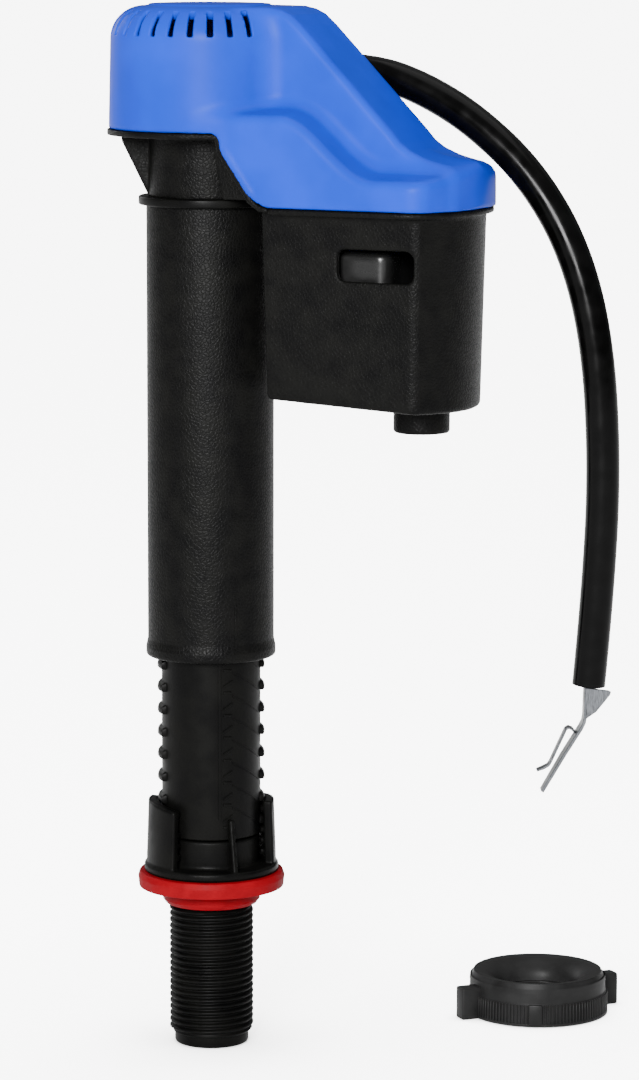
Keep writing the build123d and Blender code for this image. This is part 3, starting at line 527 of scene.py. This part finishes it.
# ---- Outer tube ------------------------------------------------------------------------------
# Black polypropylene tube round the rack tube, with a leather grain etched into its mould and a
# rolled lip at its lower end. It is welded to the valve's neck, so it rises with the head.
def leather_grain():
    """Etched mould: shallow pebbles about 1 mm wide with creases between them, on satin black."""
    material, tree, shader, where = new_finish("leather_grained_polypropylene", "#070707", 0.38, 1.49,
                                               specular=0.05)
    sway = add(tree, "ShaderNodeTexNoise", {"Vector": where, "Scale": 1.4, "Detail": 1.0})
    bent = add(tree, "ShaderNodeMixRGB", {"Fac": 0.35, "Color1": where, "Color2": sway.outputs["Color"]})
    pebble = add(tree, "ShaderNodeTexVoronoi", {"Vector": bent.outputs[0], "Scale": 1.5},
                 feature="DISTANCE_TO_EDGE")
    crease = spread(tree, pebble.outputs["Distance"], 0.0, 1.0, 0.0, 0.22)
    cloud = noise(tree, where, 6.0)
    roughened(tree, shader, spread(tree, crease, 0.5, 0.36, 0.0, 1.0))
    clouded(tree, shader, cloud, "#050505", "#0A0A09")
    first = emboss(tree, shader, crease, 0.07, 0.7)
    emboss(tree, shader, noise(tree, where, 0.3), 0.03, 0.4, first)
    return material


grained_plastic = leather_grain()
TUBE_R, TUBE_BORE_R, LIP_R, TUBE_LOW, TUBE_TOP = 17.75, 16.0, 18.25, 112.0, 238.9
tube_outline = rounded([(LIP_R, TUBE_LOW), (LIP_R, TUBE_LOW + 2.6), (TUBE_R, TUBE_LOW + 5),
                        (TUBE_R, TUBE_TOP), (TUBE_BORE_R, TUBE_TOP), (TUBE_BORE_R, TUBE_LOW)],
                       [1.3, 1.0, 1.4, 0.2, 0.2, 0.5])
tube_wall = turned("outer_tube_grained", lambda angle: tube_outline, grained_plastic)
line_points, line_faces = soft_box((17.4, 17.95), (-0.3, 0.3), (116.5, 128.5), 0.15)
line = mesh_object("outer_tube_mark", turned_by(line_points, -40), line_faces, grained_plastic)
for piece in (tube_wall, line):
    finished(piece, "head", "black_grained", "outer_tube")


# ---- Collar ----------------------------------------------------------------------------------
# A narrow black ring that covers the weld between the outer tube and the neck.
COLLAR_R, COLLAR_BORE_R, COLLAR_TOP = 19.9, 17.0, 241.3
collar_outline = rounded([(COLLAR_R, TUBE_TOP), (COLLAR_R, COLLAR_TOP), (COLLAR_BORE_R, COLLAR_TOP),
                          (COLLAR_BORE_R, TUBE_TOP)], [0.6, 0.5, 0.2, 0.2])
collar = turned("weld_collar", lambda angle: collar_outline, black_plastic)
finished(collar, "head", "black_plastic", "tube_collar")


# ---- Valve body ------------------------------------------------------------------------------
# Black polypropylene moulding under the cover: the neck, the round tray that the bonnet bolts
# to, its thin slanting gussets, and the bridge that steps down to the float cup.
NECK_WALL_R, NECK_LOW, NECK_TOP, NECK_DRAFT = 17.0, 241.1, 258.7, 0.02
SOCKET_R, SOCKET_BORE_R, SOCKET_LOW = 15.95, 13.6, 227.0
TRAY_R, TRAY_LOW, TRAY_TOP, TRAY_END = 28.5, 258.2, 259.8, 15.1
GUSSET_HEADINGS, GUSSET_HALF_THICK = (-152, 152), 0.9
GUSSET_SIDE = [(14, 241.5), (17.3, 241.7), (24.4, 256.3), (24.8, 258.8), (14, 258.8)]
WEB_Y, WEB_SIDE = 16.2, [(12.4, 241.5), (23.4, 241.5), (14.9, 254.2), (14.2, 258.6), (8.8, 258.6)]
BRIDGE_HALF = 24.5
BRIDGE_SIDE = [(12, 259.8), (14.0, 259.8), (15.0, 258.8), (16.1, 255.5), (24.9, 242.6), (26.6, 241.0),
               (29.8, 240.1), (29.8, 238.9), (27.0, 239.2), (23.6, 241.4), (14.6, 254.2), (13.6, 258.2),
               (12, 258.2)]
WATERWAY_R = 9.0


def body_form(x, y, z):
    """Neck, tray, gussets and bridge."""
    r = np.hypot(x, y)
    neck = trimmed(r - NECK_WALL_R + (z - 241) * NECK_DRAFT, slab(z, NECK_LOW, NECK_TOP), 0.3)
    socket = trimmed(trimmed(r - SOCKET_R, slab(z, SOCKET_LOW, TUBE_TOP + 0.1), 0.3), SOCKET_BORE_R - r, 0.3)
    tray = trimmed(trimmed(r - TRAY_R, slab(z, TRAY_LOW, TRAY_TOP), 0.35), x - TRAY_END, 0.3)
    form = joined(joined(neck, tray, 0.8), socket)
    form = joined(form, trimmed(r - SOCKET_R, slab(z, TUBE_TOP - 0.9, NECK_LOW + 0.9)))
    for heading in GUSSET_HEADINGS:
        turn = math.radians(heading)
        u = x * math.cos(turn) + y * math.sin(turn)
        v = -x * math.sin(turn) + y * math.cos(turn)
        form = joined(form, trimmed(outline(u, z, GUSSET_SIDE), np.abs(v) - GUSSET_HALF_THICK, 0.3), 0.3)
    form = joined(form, trimmed(outline(x, z, BRIDGE_SIDE), np.abs(y) - BRIDGE_HALF, 0.3), 0.3)
    web = trimmed(outline(x, z, WEB_SIDE), np.abs(np.abs(y) - WEB_Y) - GUSSET_HALF_THICK, 0.3)
    return trimmed(joined(form, web, 0.3), WATERWAY_R - r)


body = moulded("neck_tray_and_bridge", body_form, (-28.7, -28.7, 226.8), (29.9, 28.7, 260.0), 0.55,
               grained_plastic)
finished(body, "head", "black_plastic", "valve_body")


# ---- Float cup -------------------------------------------------------------------------------
# Grained black polypropylene box that keeps a pool of water under the float. Its walls draft
# inwards, its far end bows out, its floor slopes, and a drain spout hangs under it.
CUP_WALL, CUP_HALF, CUP_NEAR, CUP_CORNER_X, CUP_END_X = 1.8, 22.0, 26.3, 73.0, 80.5
CUP_RIM, CUP_DRAFT, CUP_FLOOR, CUP_FLOOR_SLOPE = 239.0, 0.0227, 185.2, 0.048
FLANGE_HALF, FLANGE_NEAR, FLANGE_CORNER_X, FLANGE_END_X = 24.7, 29.6, 74.4, 82.0
SPOUT_X, SPOUT_R, SPOUT_BORE_R, SPOUT_LOW = 64.8, 7.75, 5.6, 178.6
WINDOW_X, WINDOW_Z, WINDOW_ROUND = (49.3, 71.8), (221.0, 229.7), 2.3
BAR_Y, BAR_THICK, BAR_LOW = 2.95, 1.3, 180.2


def bowed_plan(x, y, half, corner_x, end_x, near_x, round_far, round_near):
    """Plan of a box whose far end is a shallow arc."""
    bow = end_x - corner_x
    arc = (half ** 2 + bow ** 2) / (2 * bow)
    far = np.hypot(x - (end_x - arc), y) - arc
    return trimmed(trimmed(np.abs(y) - half, far, round_far), near_x - x, round_near)


def cup_shell(x, y, z, inset):
    """Outer form of the cup, moved inwards."""
    draft = (CUP_RIM - z) * CUP_DRAFT
    plan = bowed_plan(x, y, CUP_HALF - draft - inset, CUP_CORNER_X - draft, CUP_END_X - draft - inset,
                      CUP_NEAR + draft + inset, 1.5, 1.6)
    underside = CUP_FLOOR + inset + (CUP_END_X - x) * CUP_FLOOR_SLOPE - z
    return trimmed(plan, underside, 1.3 if inset == 0 else 0.6)


def cup_form(x, y, z):
    """Walls, flange, window and spout."""
    rim = bowed_plan(x, y, FLANGE_HALF, FLANGE_CORNER_X, FLANGE_END_X, FLANGE_NEAR, 6.0, 1.0)
    flange = trimmed(rim, slab(z, CUP_RIM - 0.65, CUP_RIM + 1.05), 0.4)
    form = joined(trimmed(cup_shell(x, y, z, 0), z - CUP_RIM - 1), flange, 0.5)
    spout = np.hypot(x - SPOUT_X, y)
    form = joined(form, trimmed(spout - SPOUT_R, slab(z, SPOUT_LOW, CUP_FLOOR + 3.2), 0.8), 0.8)
    form = trimmed(form, -np.maximum(cup_shell(x, y, z, CUP_WALL), -1), 0.3)
    form = trimmed(form, -trimmed(spout - SPOUT_BORE_R, z - CUP_FLOOR - 4.8), 0.3)
    pane = trimmed(slab(x, *WINDOW_X), slab(z, *WINDOW_Z), WINDOW_ROUND)
    form = trimmed(form, -trimmed(pane, y + 15), 0.35)
    ends = np.maximum(spout - 6, slab(z, BAR_LOW, BAR_LOW + BAR_THICK))
    return joined(form, trimmed(np.abs(np.abs(y) - BAR_Y) - BAR_THICK / 2, ends, 0.2))


cup = moulded("float_cup_grained", cup_form, (26.0, -25.0, 178.5), (82.6, 25.0, 240.4), 0.7, grained_plastic)
finished(cup, "head", "black_grained", "float_cup")


# ---- Float -----------------------------------------------------------------------------------
# Closed, blow-moulded black float, smooth and glossy from its polished mould, with a boss on
# top that the level screw turns in. It shows through the cup's window.
FLOAT_X, FLOAT_HALF, FLOAT_Z = (30.2, 62.0), 16.5, (194.0, 228.8)
FLOAT_BOSS_R, FLOAT_BOSS_TOP, ROD_X, ROD_HOLE_R = 3.4, 231.0, 34.0, 1.75


def float_form(x, y, z):
    """Rounded block with the level screw's boss and hole."""
    sides = trimmed(slab(x, *FLOAT_X), np.abs(y) - FLOAT_HALF, 3.5)
    form = trimmed(sides, slab(z, *FLOAT_Z), 2.2)
    rod = np.hypot(x - ROD_X, y)
    form = joined(form, trimmed(rod - FLOAT_BOSS_R, slab(z, FLOAT_BOSS_TOP - 4, FLOAT_BOSS_TOP), 0.4), 0.8)
    return trimmed(form, ROD_HOLE_R - rod, 0.2)


def polished_black():
    """Blow-moulded polyethylene: black with a soft gloss and a faint haze of water marks."""
    material, tree, shader, where = new_finish("blow_moulded_black_float", "#101010", 0.3, 1.5, specular=0.3)
    haze = noise(tree, where, 7.0, 4.0)
    roughened(tree, shader, spread(tree, haze, 0.26, 0.38))
    clouded(tree, shader, haze, "#0E0E0E", "#131313")
    emboss(tree, shader, noise(tree, where, 3.0, 1.0), 0.05, 0.3)
    return material


float_piece = moulded("float_body", float_form, (30, -16.7, 193.8), (62.3, 16.7, 231.3), 0.8,
                      polished_black())
finished(float_piece, "float", "black_float", "float_block")


# ---- Valve works under the cover -------------------------------------------------------------
# White acetal levers, seat and bonnet, black rubber diaphragm and rings, and plated steel
# screws. They are hidden by the cover, and keep the shapes of the design model.
def white_acetal():
    """Machine-smooth acetal: slightly warm, translucent-looking white with a low gloss."""
    material, tree, shader, where = new_finish("moulded_white_acetal", "#E4E2DA", 0.32, 1.48)
    shader.inputs["Subsurface Weight"].default_value = 0.08
    shader.inputs["Subsurface Radius"].default_value = (0.001, 0.0009, 0.0008)
    cloud = noise(tree, where, 5.0)
    clouded(tree, shader, cloud, "#DCDAD1", "#E9E7E0")
    roughened(tree, shader, spread(tree, cloud, 0.28, 0.4))
    emboss(tree, shader, noise(tree, where, 0.6), 0.02, 0.3)
    return material


def black_rubber():
    """Moulded nitrile rubber: soft matt black with a light bloom."""
    material, tree, shader, where = new_finish("moulded_black_nitrile", "#141414", 0.6, 1.52, specular=0.3)
    bloom = noise(tree, where, 2.0)
    roughened(tree, shader, spread(tree, bloom, 0.5, 0.72))
    clouded(tree, shader, bloom, "#101010", "#1B1B1B")
    emboss(tree, shader, noise(tree, where, 0.4), 0.03, 0.4)
    return material


def spring_steel():
    """Rolled strip: pale grey, fine streaks 0.15 mm apart along the rolling, slightly dulled."""
    material, tree, shader, where = new_finish("rolled_spring_steel", "#5E6063", 0.32, 1.5, metal=1.0)
    stretched = add(tree, "ShaderNodeMapping", {"Vector": where, "Scale": (6.0, 6.0, 0.5)}).outputs[0]
    streak = noise(tree, stretched, 1.0)
    roughened(tree, shader, spread(tree, streak, 0.26, 0.44))
    clouded(tree, shader, streak, "#525457", "#6A6C70")
    emboss(tree, shader, streak, 0.01, 0.4)
    return material


acetal, rubber, steel = white_acetal(), black_rubber(), spring_steel()
works = [(acetal, "inlet_filter seat_insert bonnet float_arm pilot_pin drain_ball level_screw"),
         (rubber, "base_o_ring pipe_o_ring_lower pipe_o_ring_upper diaphragm pilot_seal"),
         (steel, "bonnet_screws pivot_pin"),
         (black_plastic, "downpipe refill_nipple")]
for finish, names in works:
    for name in names.split():
        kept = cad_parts[name]
        kept.data.materials.clear()
        kept.data.materials.append(finish)


# ---- Cover -----------------------------------------------------------------------------------
# One thin-walled blue ABS moulding that pushes on over the valve works and the float cup: a
# vented dome, a straight ridge that slopes to the far end, and a skirt with an S-shaped
# shoulder. The mould is polished to a satin and every corner is generously rounded.
COVER_WALL, DOME_R, DOME_TOP, DOME_ROUND, DISC_R, DISC_TOP = 1.8, 28.0, 293.7, 9.0, 17.0, 294.25
RIDGE_HALF, RIDGE_ROUND, COVER_DRAFT = 13.3, 2.2, 0.022
RIDGE = [(0, 230), (0, 293.6), (24.0, 293.6), (27.4, 293.1), (30.4, 291.7), (33.8, 288.7), (61.0, 260.7),
         (63.4, 258.0), (66.2, 256.0), (70.1, 254.3), (77.4, 251.9), (79.0, 250.6), (79.6, 249.2),
         (79.6, 230)]
SKIRT_HALF, SKIRT_CORNER_X, SKIRT_END_X, SKIRT_LOW = 25.0, 74.5, 82.3, 240.3
SHOULDER_FROM, SHOULDER_LONG, SHOULDER_TOP, SHOULDER_DROP, SHOULDER_TILT = 32.5, 28.5, 264.9, 16.7, 0.19
DOME_LOW, SLOPE_X, SLOPE_Z, SLOPE_ALONG, SLOPE_UP = 260.0, 15.4, 255.8, 0.8179, 0.5754
STRIP_PROUD, STRIP_WIDE, STRIP_Z = 0.5, 1.7, (243.2, 255.6)


def past_slope(x, z):
    """How far a point is past the lower edge's slope, towards the cup."""
    return (x - SLOPE_X) * SLOPE_ALONG + (z - SLOPE_Z) * SLOPE_UP


def cover_form(x, y, z):
    """Outside of the cover: dome, ridge, skirt, top disc and the edge strip."""
    r = np.hypot(x, y)
    dome = trimmed(r - DOME_R + np.clip(z - 262, 0, 40) * COVER_DRAFT, z - DOME_TOP, DOME_ROUND)
    ridge = trimmed(outline(x, z, RIDGE), np.abs(y) - RIDGE_HALF + (z - 250) * COVER_DRAFT, RIDGE_ROUND)
    form = trimmed(joined(dome, ridge, 4.5), z - DOME_TOP)
    form = joined(form, trimmed(r - DISC_R, z - DISC_TOP, 0.5), 0.3)
    share = np.clip((x - SHOULDER_FROM) / SHOULDER_LONG, 0, 1)
    fall = SHOULDER_DROP * (1 - np.cos(math.pi * share)) / 2
    height = SHOULDER_TOP - fall + SHOULDER_TILT * (SKIRT_HALF - np.abs(y))
    steep = np.hypot(1, SHOULDER_DROP * math.pi / (2 * SHOULDER_LONG) * np.sin(math.pi * share))
    plan = bowed_plan(x, y, SKIRT_HALF, SKIRT_CORNER_X, SKIRT_END_X, 0.0, 3.4, 0.5)
    form = joined(form, trimmed(plan, (z - height) / steep, 2.4), 3.4)
    strip = trimmed(plan - STRIP_PROUD, past_slope(x, z) - STRIP_WIDE)
    return joined(form, trimmed(trimmed(strip, z - STRIP_Z[1]), STRIP_Z[0] - z, 0.3), 0.3)


def cover_shell(x, y, z):
    """Wall of the cover, above its stepped lower edge."""
    outer = cover_form(x, y, z)
    low = trimmed(trimmed(SKIRT_LOW - z, -past_slope(x, z), 4.0), SLOPE_X + 0.1 - x, 1.0)
    keep = joined(DOME_LOW - z, low, 2.6)
    shell = trimmed(outer, -(outer + COVER_WALL))
    return trimmed(shell, keep, 0.45)


def satin_blue():
    """Satin ABS: strong mid blue with a slight sheen from the polish and a faint, even cloud."""
    material, tree, shader, where = new_finish("satin_blue_abs", "#042EA4", 0.4, 1.53, specular=0.035)
    cloud = noise(tree, where, 16.0, 2.0)
    clouded(tree, shader, cloud, "#042C9E", "#0530AA")
    roughened(tree, shader, spread(tree, cloud, 0.35, 0.42))
    emboss(tree, shader, noise(tree, where, 0.5), 0.015, 0.35)
    return material


blue_plastic = satin_blue()
cover = moulded("vented_cover", cover_shell, (-28.4, -28.6, 240.0), (82.9, 28.6, 294.6), 0.8, blue_plastic)
VENTS, VENT_FROM, VENT_HALF_WIDE, VENT_Z = 25, 39.5, 0.9, (285.8, 293.0)
vent_shape = soft_box((22.6, 31), (-VENT_HALF_WIDE, VENT_HALF_WIDE), VENT_Z, 0.5, 3)
vent = mesh_object("vent", *vent_shape, blue_plastic)
vents = repeated("vents", vent, blue_plastic, VENTS, 1, VENT_FROM, (360 - 2 * VENT_FROM) / (VENTS - 1))
cut = cover.modifiers.new("vents", "BOOLEAN")
cut.operation = "DIFFERENCE"
cut.object = vents
cut.solver = "MANIFOLD"
settled(cover)
bpy.data.objects.remove(vents)
finished(cover, "cover", "blue_plastic", "cap")


# ---- Refill hose -----------------------------------------------------------------------------
# Glossy black flexible PVC tube, 9.2 mm across, pushed on the outlet stub at the cover. It
# leaves level, arches over the float cup and hangs straight to its clip.
HOSE_Y, HOSE_DIAMETER, HOSE_LENGTH = 0.0186, 0.0092, 0.216
HOSE_ROUTE = [(0.0252, 0.2762), (0.0405, 0.2762), (0.0560, 0.2716), (0.0720, 0.2630), (0.0888, 0.2488),
              (0.1018, 0.2288), (0.1090, 0.2030), (0.1113, 0.1680), (0.1096, 0.1330), (0.1073, 0.1087)]

route = bpy.data.curves.new("refill_hose_tube", "CURVE")
route.dimensions = "3D"
spline = route.splines.new("NURBS")
spline.points.add(len(HOSE_ROUTE) - 1)
for point, (x, z) in zip(spline.points, HOSE_ROUTE):
    point.co = (x, HOSE_Y, z, 1)
spline.order_u = 3
spline.use_endpoint_u = True
spline.use_smooth = True
route.resolution_u = 24
route.bevel_depth = HOSE_DIAMETER / 2
route.bevel_resolution = 12
route.use_fill_caps = True
hose = bpy.data.objects.new("refill_hose_tube", route)
bpy.context.scene.collection.objects.link(hose)


def hose_black():
    """Extruded soft PVC: wet-looking black gloss with faint drawing lines and a slight waviness."""
    material, tree, shader, where = new_finish("extruded_black_pvc", "#030303", 0.18, 1.53, specular=0.06)
    wave = noise(tree, where, 5.0, 1.0)
    roughened(tree, shader, spread(tree, wave, 0.16, 0.27))
    clouded(tree, shader, wave, "#020202", "#040404")
    emboss(tree, shader, wave, 0.06, 0.3)
    return material


route.materials.append(hose_black())
finished(hose, "cover", "black_hose", "refill_hose")


# ---- Hose clip -------------------------------------------------------------------------------
# Stamped and bent from 0.9 mm spring steel strip: a triangular head that the hose's end is
# pushed on, a long leg, and a sprung tongue that grips the rim of the tank's overflow pipe.
CLIP_THICK, CLIP_HALF, CLIP_HEAD_Y, CLIP_TURN = 0.9, 3.0, 15.6, 27


def edged(piece, width):
    """Takes the sharpness off the edges that the stamping leaves."""
    edge = piece.modifiers.new("edge", "BEVEL")
    edge.width = width * MM
    edge.segments = 2
    edge.limit_method = "ANGLE"
    return settled(piece)


def bent_strip(name, path, half, thick):
    """Sheet strip along a side view, a little narrower at its two ends."""
    curve = [Vector(p) for p in path]
    last = len(curve) - 1
    points, faces = [], []
    for i, here in enumerate(curve):
        along = (curve[min(i + 1, last)] - curve[max(i - 1, 0)]).normalized()
        normal = Vector((-along.y, along.x))
        wide = half * (0.75 if i in (0, last) else 1.0)
        for up, side in ((-1, -1), (-1, 1), (1, 1), (1, -1)):
            spot = here + normal * up * thick / 2
            points.append((spot.x, HOSE_Y / MM + side * wide, spot.y))
    for i in range(last):
        faces += [(4 * i + j, 4 * i + (j + 1) % 4, 4 * i + 4 + (j + 1) % 4, 4 * i + 4 + j) for j in range(4)]
    faces += [(3, 2, 1, 0), tuple(4 * last + j for j in range(4))]
    return edged(mesh_object(name, points, faces, steel, 35), 0.18)


def head_plate(name, corners, low, thick):
    """The clip's flat triangular head."""
    size = len(corners)
    points = [(x, low + side * thick, z) for side in (0, 1) for x, z in corners]
    faces = [tuple(range(size)), tuple(size + j for j in reversed(range(size)))]
    faces += [(j, (j + 1) % size, size + (j + 1) % size, size + j) for j in range(size)]
    return edged(mesh_object(name, points, faces, steel, 35), 0.2)


leg_path = [(106.4, 108.5), (106.35, 104.0), (106.25, 100.2), (105.95, 98.4), (105.1, 96.7), (100.4, 89.1),
            (94.6, 79.0)]
tongue_path = [(103.7, 95.3), (102.8, 96.5), (101.8, 96.9), (101.1, 96.5), (99.0, 91.9), (96.9, 87.2),
               (96.3, 86.3), (95.1, 85.6), (93.1, 84.8)]
leg = bent_strip("hose_clip_leg", leg_path, CLIP_HALF, CLIP_THICK)
tongue = bent_strip("hose_clip_tongue", tongue_path, CLIP_HALF * 0.6, CLIP_THICK * 0.7)
plate = head_plate("hose_clip_head", rounded([(106.0, 108.4), (113.9, 107.4), (109.3, 101.6), (106.05, 99.3)],
                                            [0.3, 0.8, 0.8, 0.3], 2), CLIP_HEAD_Y, CLIP_THICK)
hose_end = Matrix.Translation((HOSE_ROUTE[-1][0], HOSE_Y, 0))
clip_turn = hose_end @ Matrix.Rotation(math.radians(CLIP_TURN), 4, "Z") @ hose_end.inverted()
for piece in (leg, tongue, plate):
    piece.data.transform(clip_turn)
    finished(piece, "cover", "spring_steel", "hose_clip")


# ---- Lock nut --------------------------------------------------------------------------------
# Dark grey polypropylene nut for the shank, under the tank's floor. It has a funnel mouth, a
# ribbed grip band and two wings, and lies loose beside the valve.
NUT_X, NUT_Y, NUT_TURN = 70.9, 71.2, 49.0
NUT_R, NUT_BAND_R, NUT_HEIGHT, NUT_BAND_TOP = 19.7, 20.6, 12.5, 6.6
NUT_BORE_R, BELL_WIDE, BELL_DEEP, NUT_THREAD_ROOT = 11.1, 7.6, 6.3, 12.0
NUT_RIBS, RIB_HALF_WIDE = 120, 0.26
WING_REACH, WING_HALF_WIDE, WING_TOP, TAB_HEADING, TAB_HALF_WIDE = 25.3, 2.4, 9.4, 62.3, 2.0


def grey_plastic():
    """Moulded polypropylene with grey filler: satin, faint flow marks, fine grain."""
    material, tree, shader, where = new_finish("moulded_grey_polypropylene", "#161616", 0.42, 1.49,
                                               specular=0.1)
    flow = noise(tree, where, 6.0)
    roughened(tree, shader, spread(tree, flow, 0.4, 0.52))
    clouded(tree, shader, flow, "#131313", "#1A1A1A")
    emboss(tree, shader, noise(tree, where, 0.45), 0.04, 0.5)
    return material


def nut_section(angle):
    """Outline of the nut's ring at one heading, with its bell mouth and inner thread."""
    outer = rounded([(NUT_BAND_R, 0.0), (NUT_BAND_R, 1.0), (NUT_BAND_R - 0.5, 1.1),
                     (NUT_BAND_R - 0.5, NUT_BAND_TOP), (NUT_R + 0.2, NUT_BAND_TOP + 0.3),
                     (NUT_R, NUT_HEIGHT)], [0.4, 0.2, 0.1, 0.3, 0.2, 0.6])
    bell_low = NUT_HEIGHT - BELL_DEEP
    bell = [(NUT_BORE_R + BELL_WIDE * (1 - math.cos(a)), bell_low + BELL_DEEP * math.sin(a))
            for a in np.linspace(math.pi / 2, 0, 12)]
    thread = []
    for z in np.arange(bell_low - 0.2, 0.4, -THREAD_PITCH / 8):
        tooth = thread_radius(z, angle, 0.2, bell_low - 0.1, 0.9, 0.0)
        thread.append((NUT_THREAD_ROOT - tooth, z))
    return outer + bell + thread + [(NUT_THREAD_ROOT, 0.0)]


def placed_nut(piece):
    """Sets a piece made round its own axis down at the nut's place."""
    turn = Matrix.Rotation(math.radians(NUT_TURN), 4, "Z")
    piece.data.transform(Matrix.Translation((NUT_X * MM, NUT_Y * MM, 0)) @ turn)
    return piece


nut_grey = grey_plastic()
nut_ring = turned("lock_nut_ring", nut_section, nut_grey, 128, 50)
rib_shape = soft_box((19.8, NUT_BAND_R), (-RIB_HALF_WIDE, RIB_HALF_WIDE), (0.9, NUT_BAND_TOP - 0.1), 0.12, 1)
rib_template = mesh_object("nut_rib", *rib_shape, nut_grey)
nut_ribs = repeated("lock_nut_ribs", rib_template, nut_grey, NUT_RIBS, 1, 1.5, 360 / NUT_RIBS)
wing_shape = soft_box((18.6, WING_REACH), (-WING_HALF_WIDE, WING_HALF_WIDE), (0.0, WING_TOP), 0.6, 3)
wing = mesh_object("wing", *wing_shape, nut_grey)
wings = repeated("lock_nut_wings", wing, nut_grey, 2, 1, 0, 180)
tab_shape = soft_box((19.4, NUT_BAND_R + 0.2), (-TAB_HALF_WIDE, TAB_HALF_WIDE),
                     (0.3, NUT_BAND_TOP + 0.1), 0.3)
tab = mesh_object("tab", *tab_shape, nut_grey)
tabs = repeated("lock_nut_tabs", tab, nut_grey, 2, 1, TAB_HEADING, 180)
for piece in (nut_ring, nut_ribs, wings, tabs):
    finished(placed_nut(piece), "nut", "grey_plastic", "lock_nut")


# ---- Floor, light and camera -----------------------------------------------------------------
# A plain white floor that runs on out of sight, with a broad light of its own that whitens it. A
# soft box lights the valve from near the camera, with two weak ones above and behind. The camera
# stands about 1.2 m away, a third of a metre up, turned 27 degrees from the window's side.
FLOOR_HALF = 40000


def plain_floor():
    """Matt floor, far wider than the view: white to the camera, grey where it lights the valve."""
    material, tree, shader, _ = new_finish("pale_matt_floor", "#F4F4F4", 0.6, specular=0.0)
    seen = add(tree, "ShaderNodeLightPath").outputs["Is Camera Ray"]
    tree.links.new(shade(tree, seen, "#7C7C7C", "#F4F4F4"), shader.inputs["Base Color"])
    shader.inputs["Emission Color"].default_value = (1, 1, 1, 1)
    shader.inputs["Emission Strength"].default_value = 0.4
    corners = [(-FLOOR_HALF, -FLOOR_HALF, 0), (FLOOR_HALF, -FLOOR_HALF, 0), (FLOOR_HALF, FLOOR_HALF, 0),
               (-FLOOR_HALF, FLOOR_HALF, 0)]
    sheet = mesh_object("floor", corners, [(0, 1, 2, 3)], material, 0)
    if sheet.data.polygons[0].normal.z < 0:
        sheet.data.flip_normals()
    return sheet


floor = plain_floor()


def soft_light(name, where, aim, size, power):
    """A square soft box that faces a point, in metres and watts."""
    light = bpy.data.lights.new(name, "AREA")
    light.shape = "SQUARE"
    light.size = size
    light.energy = power
    lamp = bpy.data.objects.new(name, light)
    lamp.location = where
    lamp.rotation_euler = (Vector(aim) - Vector(where)).to_track_quat("-Z", "Y").to_euler()
    bpy.context.scene.collection.objects.link(lamp)


soft_light("key_light", (0.38, -1.35, 0.62), (0.03, 0, 0.2), 0.4, 64.0)
soft_light("top_light", (0.25, 0.1, 1.5), (0.03, 0, 0.15), 1.0, 8.0)
soft_light("rim_light", (-0.9, 0.5, 0.5), (0.0, 0, 0.15), 0.4, 2.0)
overhead = bpy.data.lights.new("floor_light", "SUN")
overhead.energy = 24.0
overhead.angle = math.radians(60)
overhead_lamp = bpy.data.objects.new("floor_light", overhead)
bpy.context.scene.collection.objects.link(overhead_lamp)
floor_only = bpy.data.collections.new("floor_only")
floor_only.objects.link(floor)
overhead_lamp.light_linking.receiver_collection = floor_only
world = bpy.data.worlds.new("white_surround")
world.use_nodes = True
sky = world.node_tree
direction = add(sky, "ShaderNodeTexCoord").outputs["Generated"]
upward = add(sky, "ShaderNodeSeparateXYZ", {0: direction}).outputs["Z"]
brightness = spread(sky, upward, 0.1, 0.7, 0.0, 0.9)
sky.nodes["Background"].inputs["Color"].default_value = (1, 1, 1, 1)
sky.links.new(brightness, sky.nodes["Background"].inputs["Strength"])
bpy.context.scene.world = world

CAMERA_AWAY, CAMERA_HIGH, CAMERA_HEADING = 1.22354, 0.32794, math.radians(27)
CAMERA_DOWN, CAMERA_LENS, CAMERA_ROLL = math.radians(8.5308), 146.67, 0.0017
AXIS_LEFT = math.radians(1.4313)
eye = bpy.data.objects.new("camera", bpy.data.cameras.new("camera"))
eye.data.lens = CAMERA_LENS
eye.data.sensor_width = 36
bpy.context.scene.collection.objects.link(eye)
eye.location = (CAMERA_AWAY * math.sin(CAMERA_HEADING), -CAMERA_AWAY * math.cos(CAMERA_HEADING), CAMERA_HIGH)
facing = math.pi / 2 + CAMERA_HEADING - AXIS_LEFT
look = Vector((math.cos(facing) * math.cos(CAMERA_DOWN), math.sin(facing) * math.cos(CAMERA_DOWN),
               -math.sin(CAMERA_DOWN)))
turn = look.to_track_quat("-Z", "Y").to_matrix() @ Matrix.Rotation(CAMERA_ROLL, 3, "Z")
eye.rotation_euler = turn.to_euler()
bpy.context.scene.camera = eye
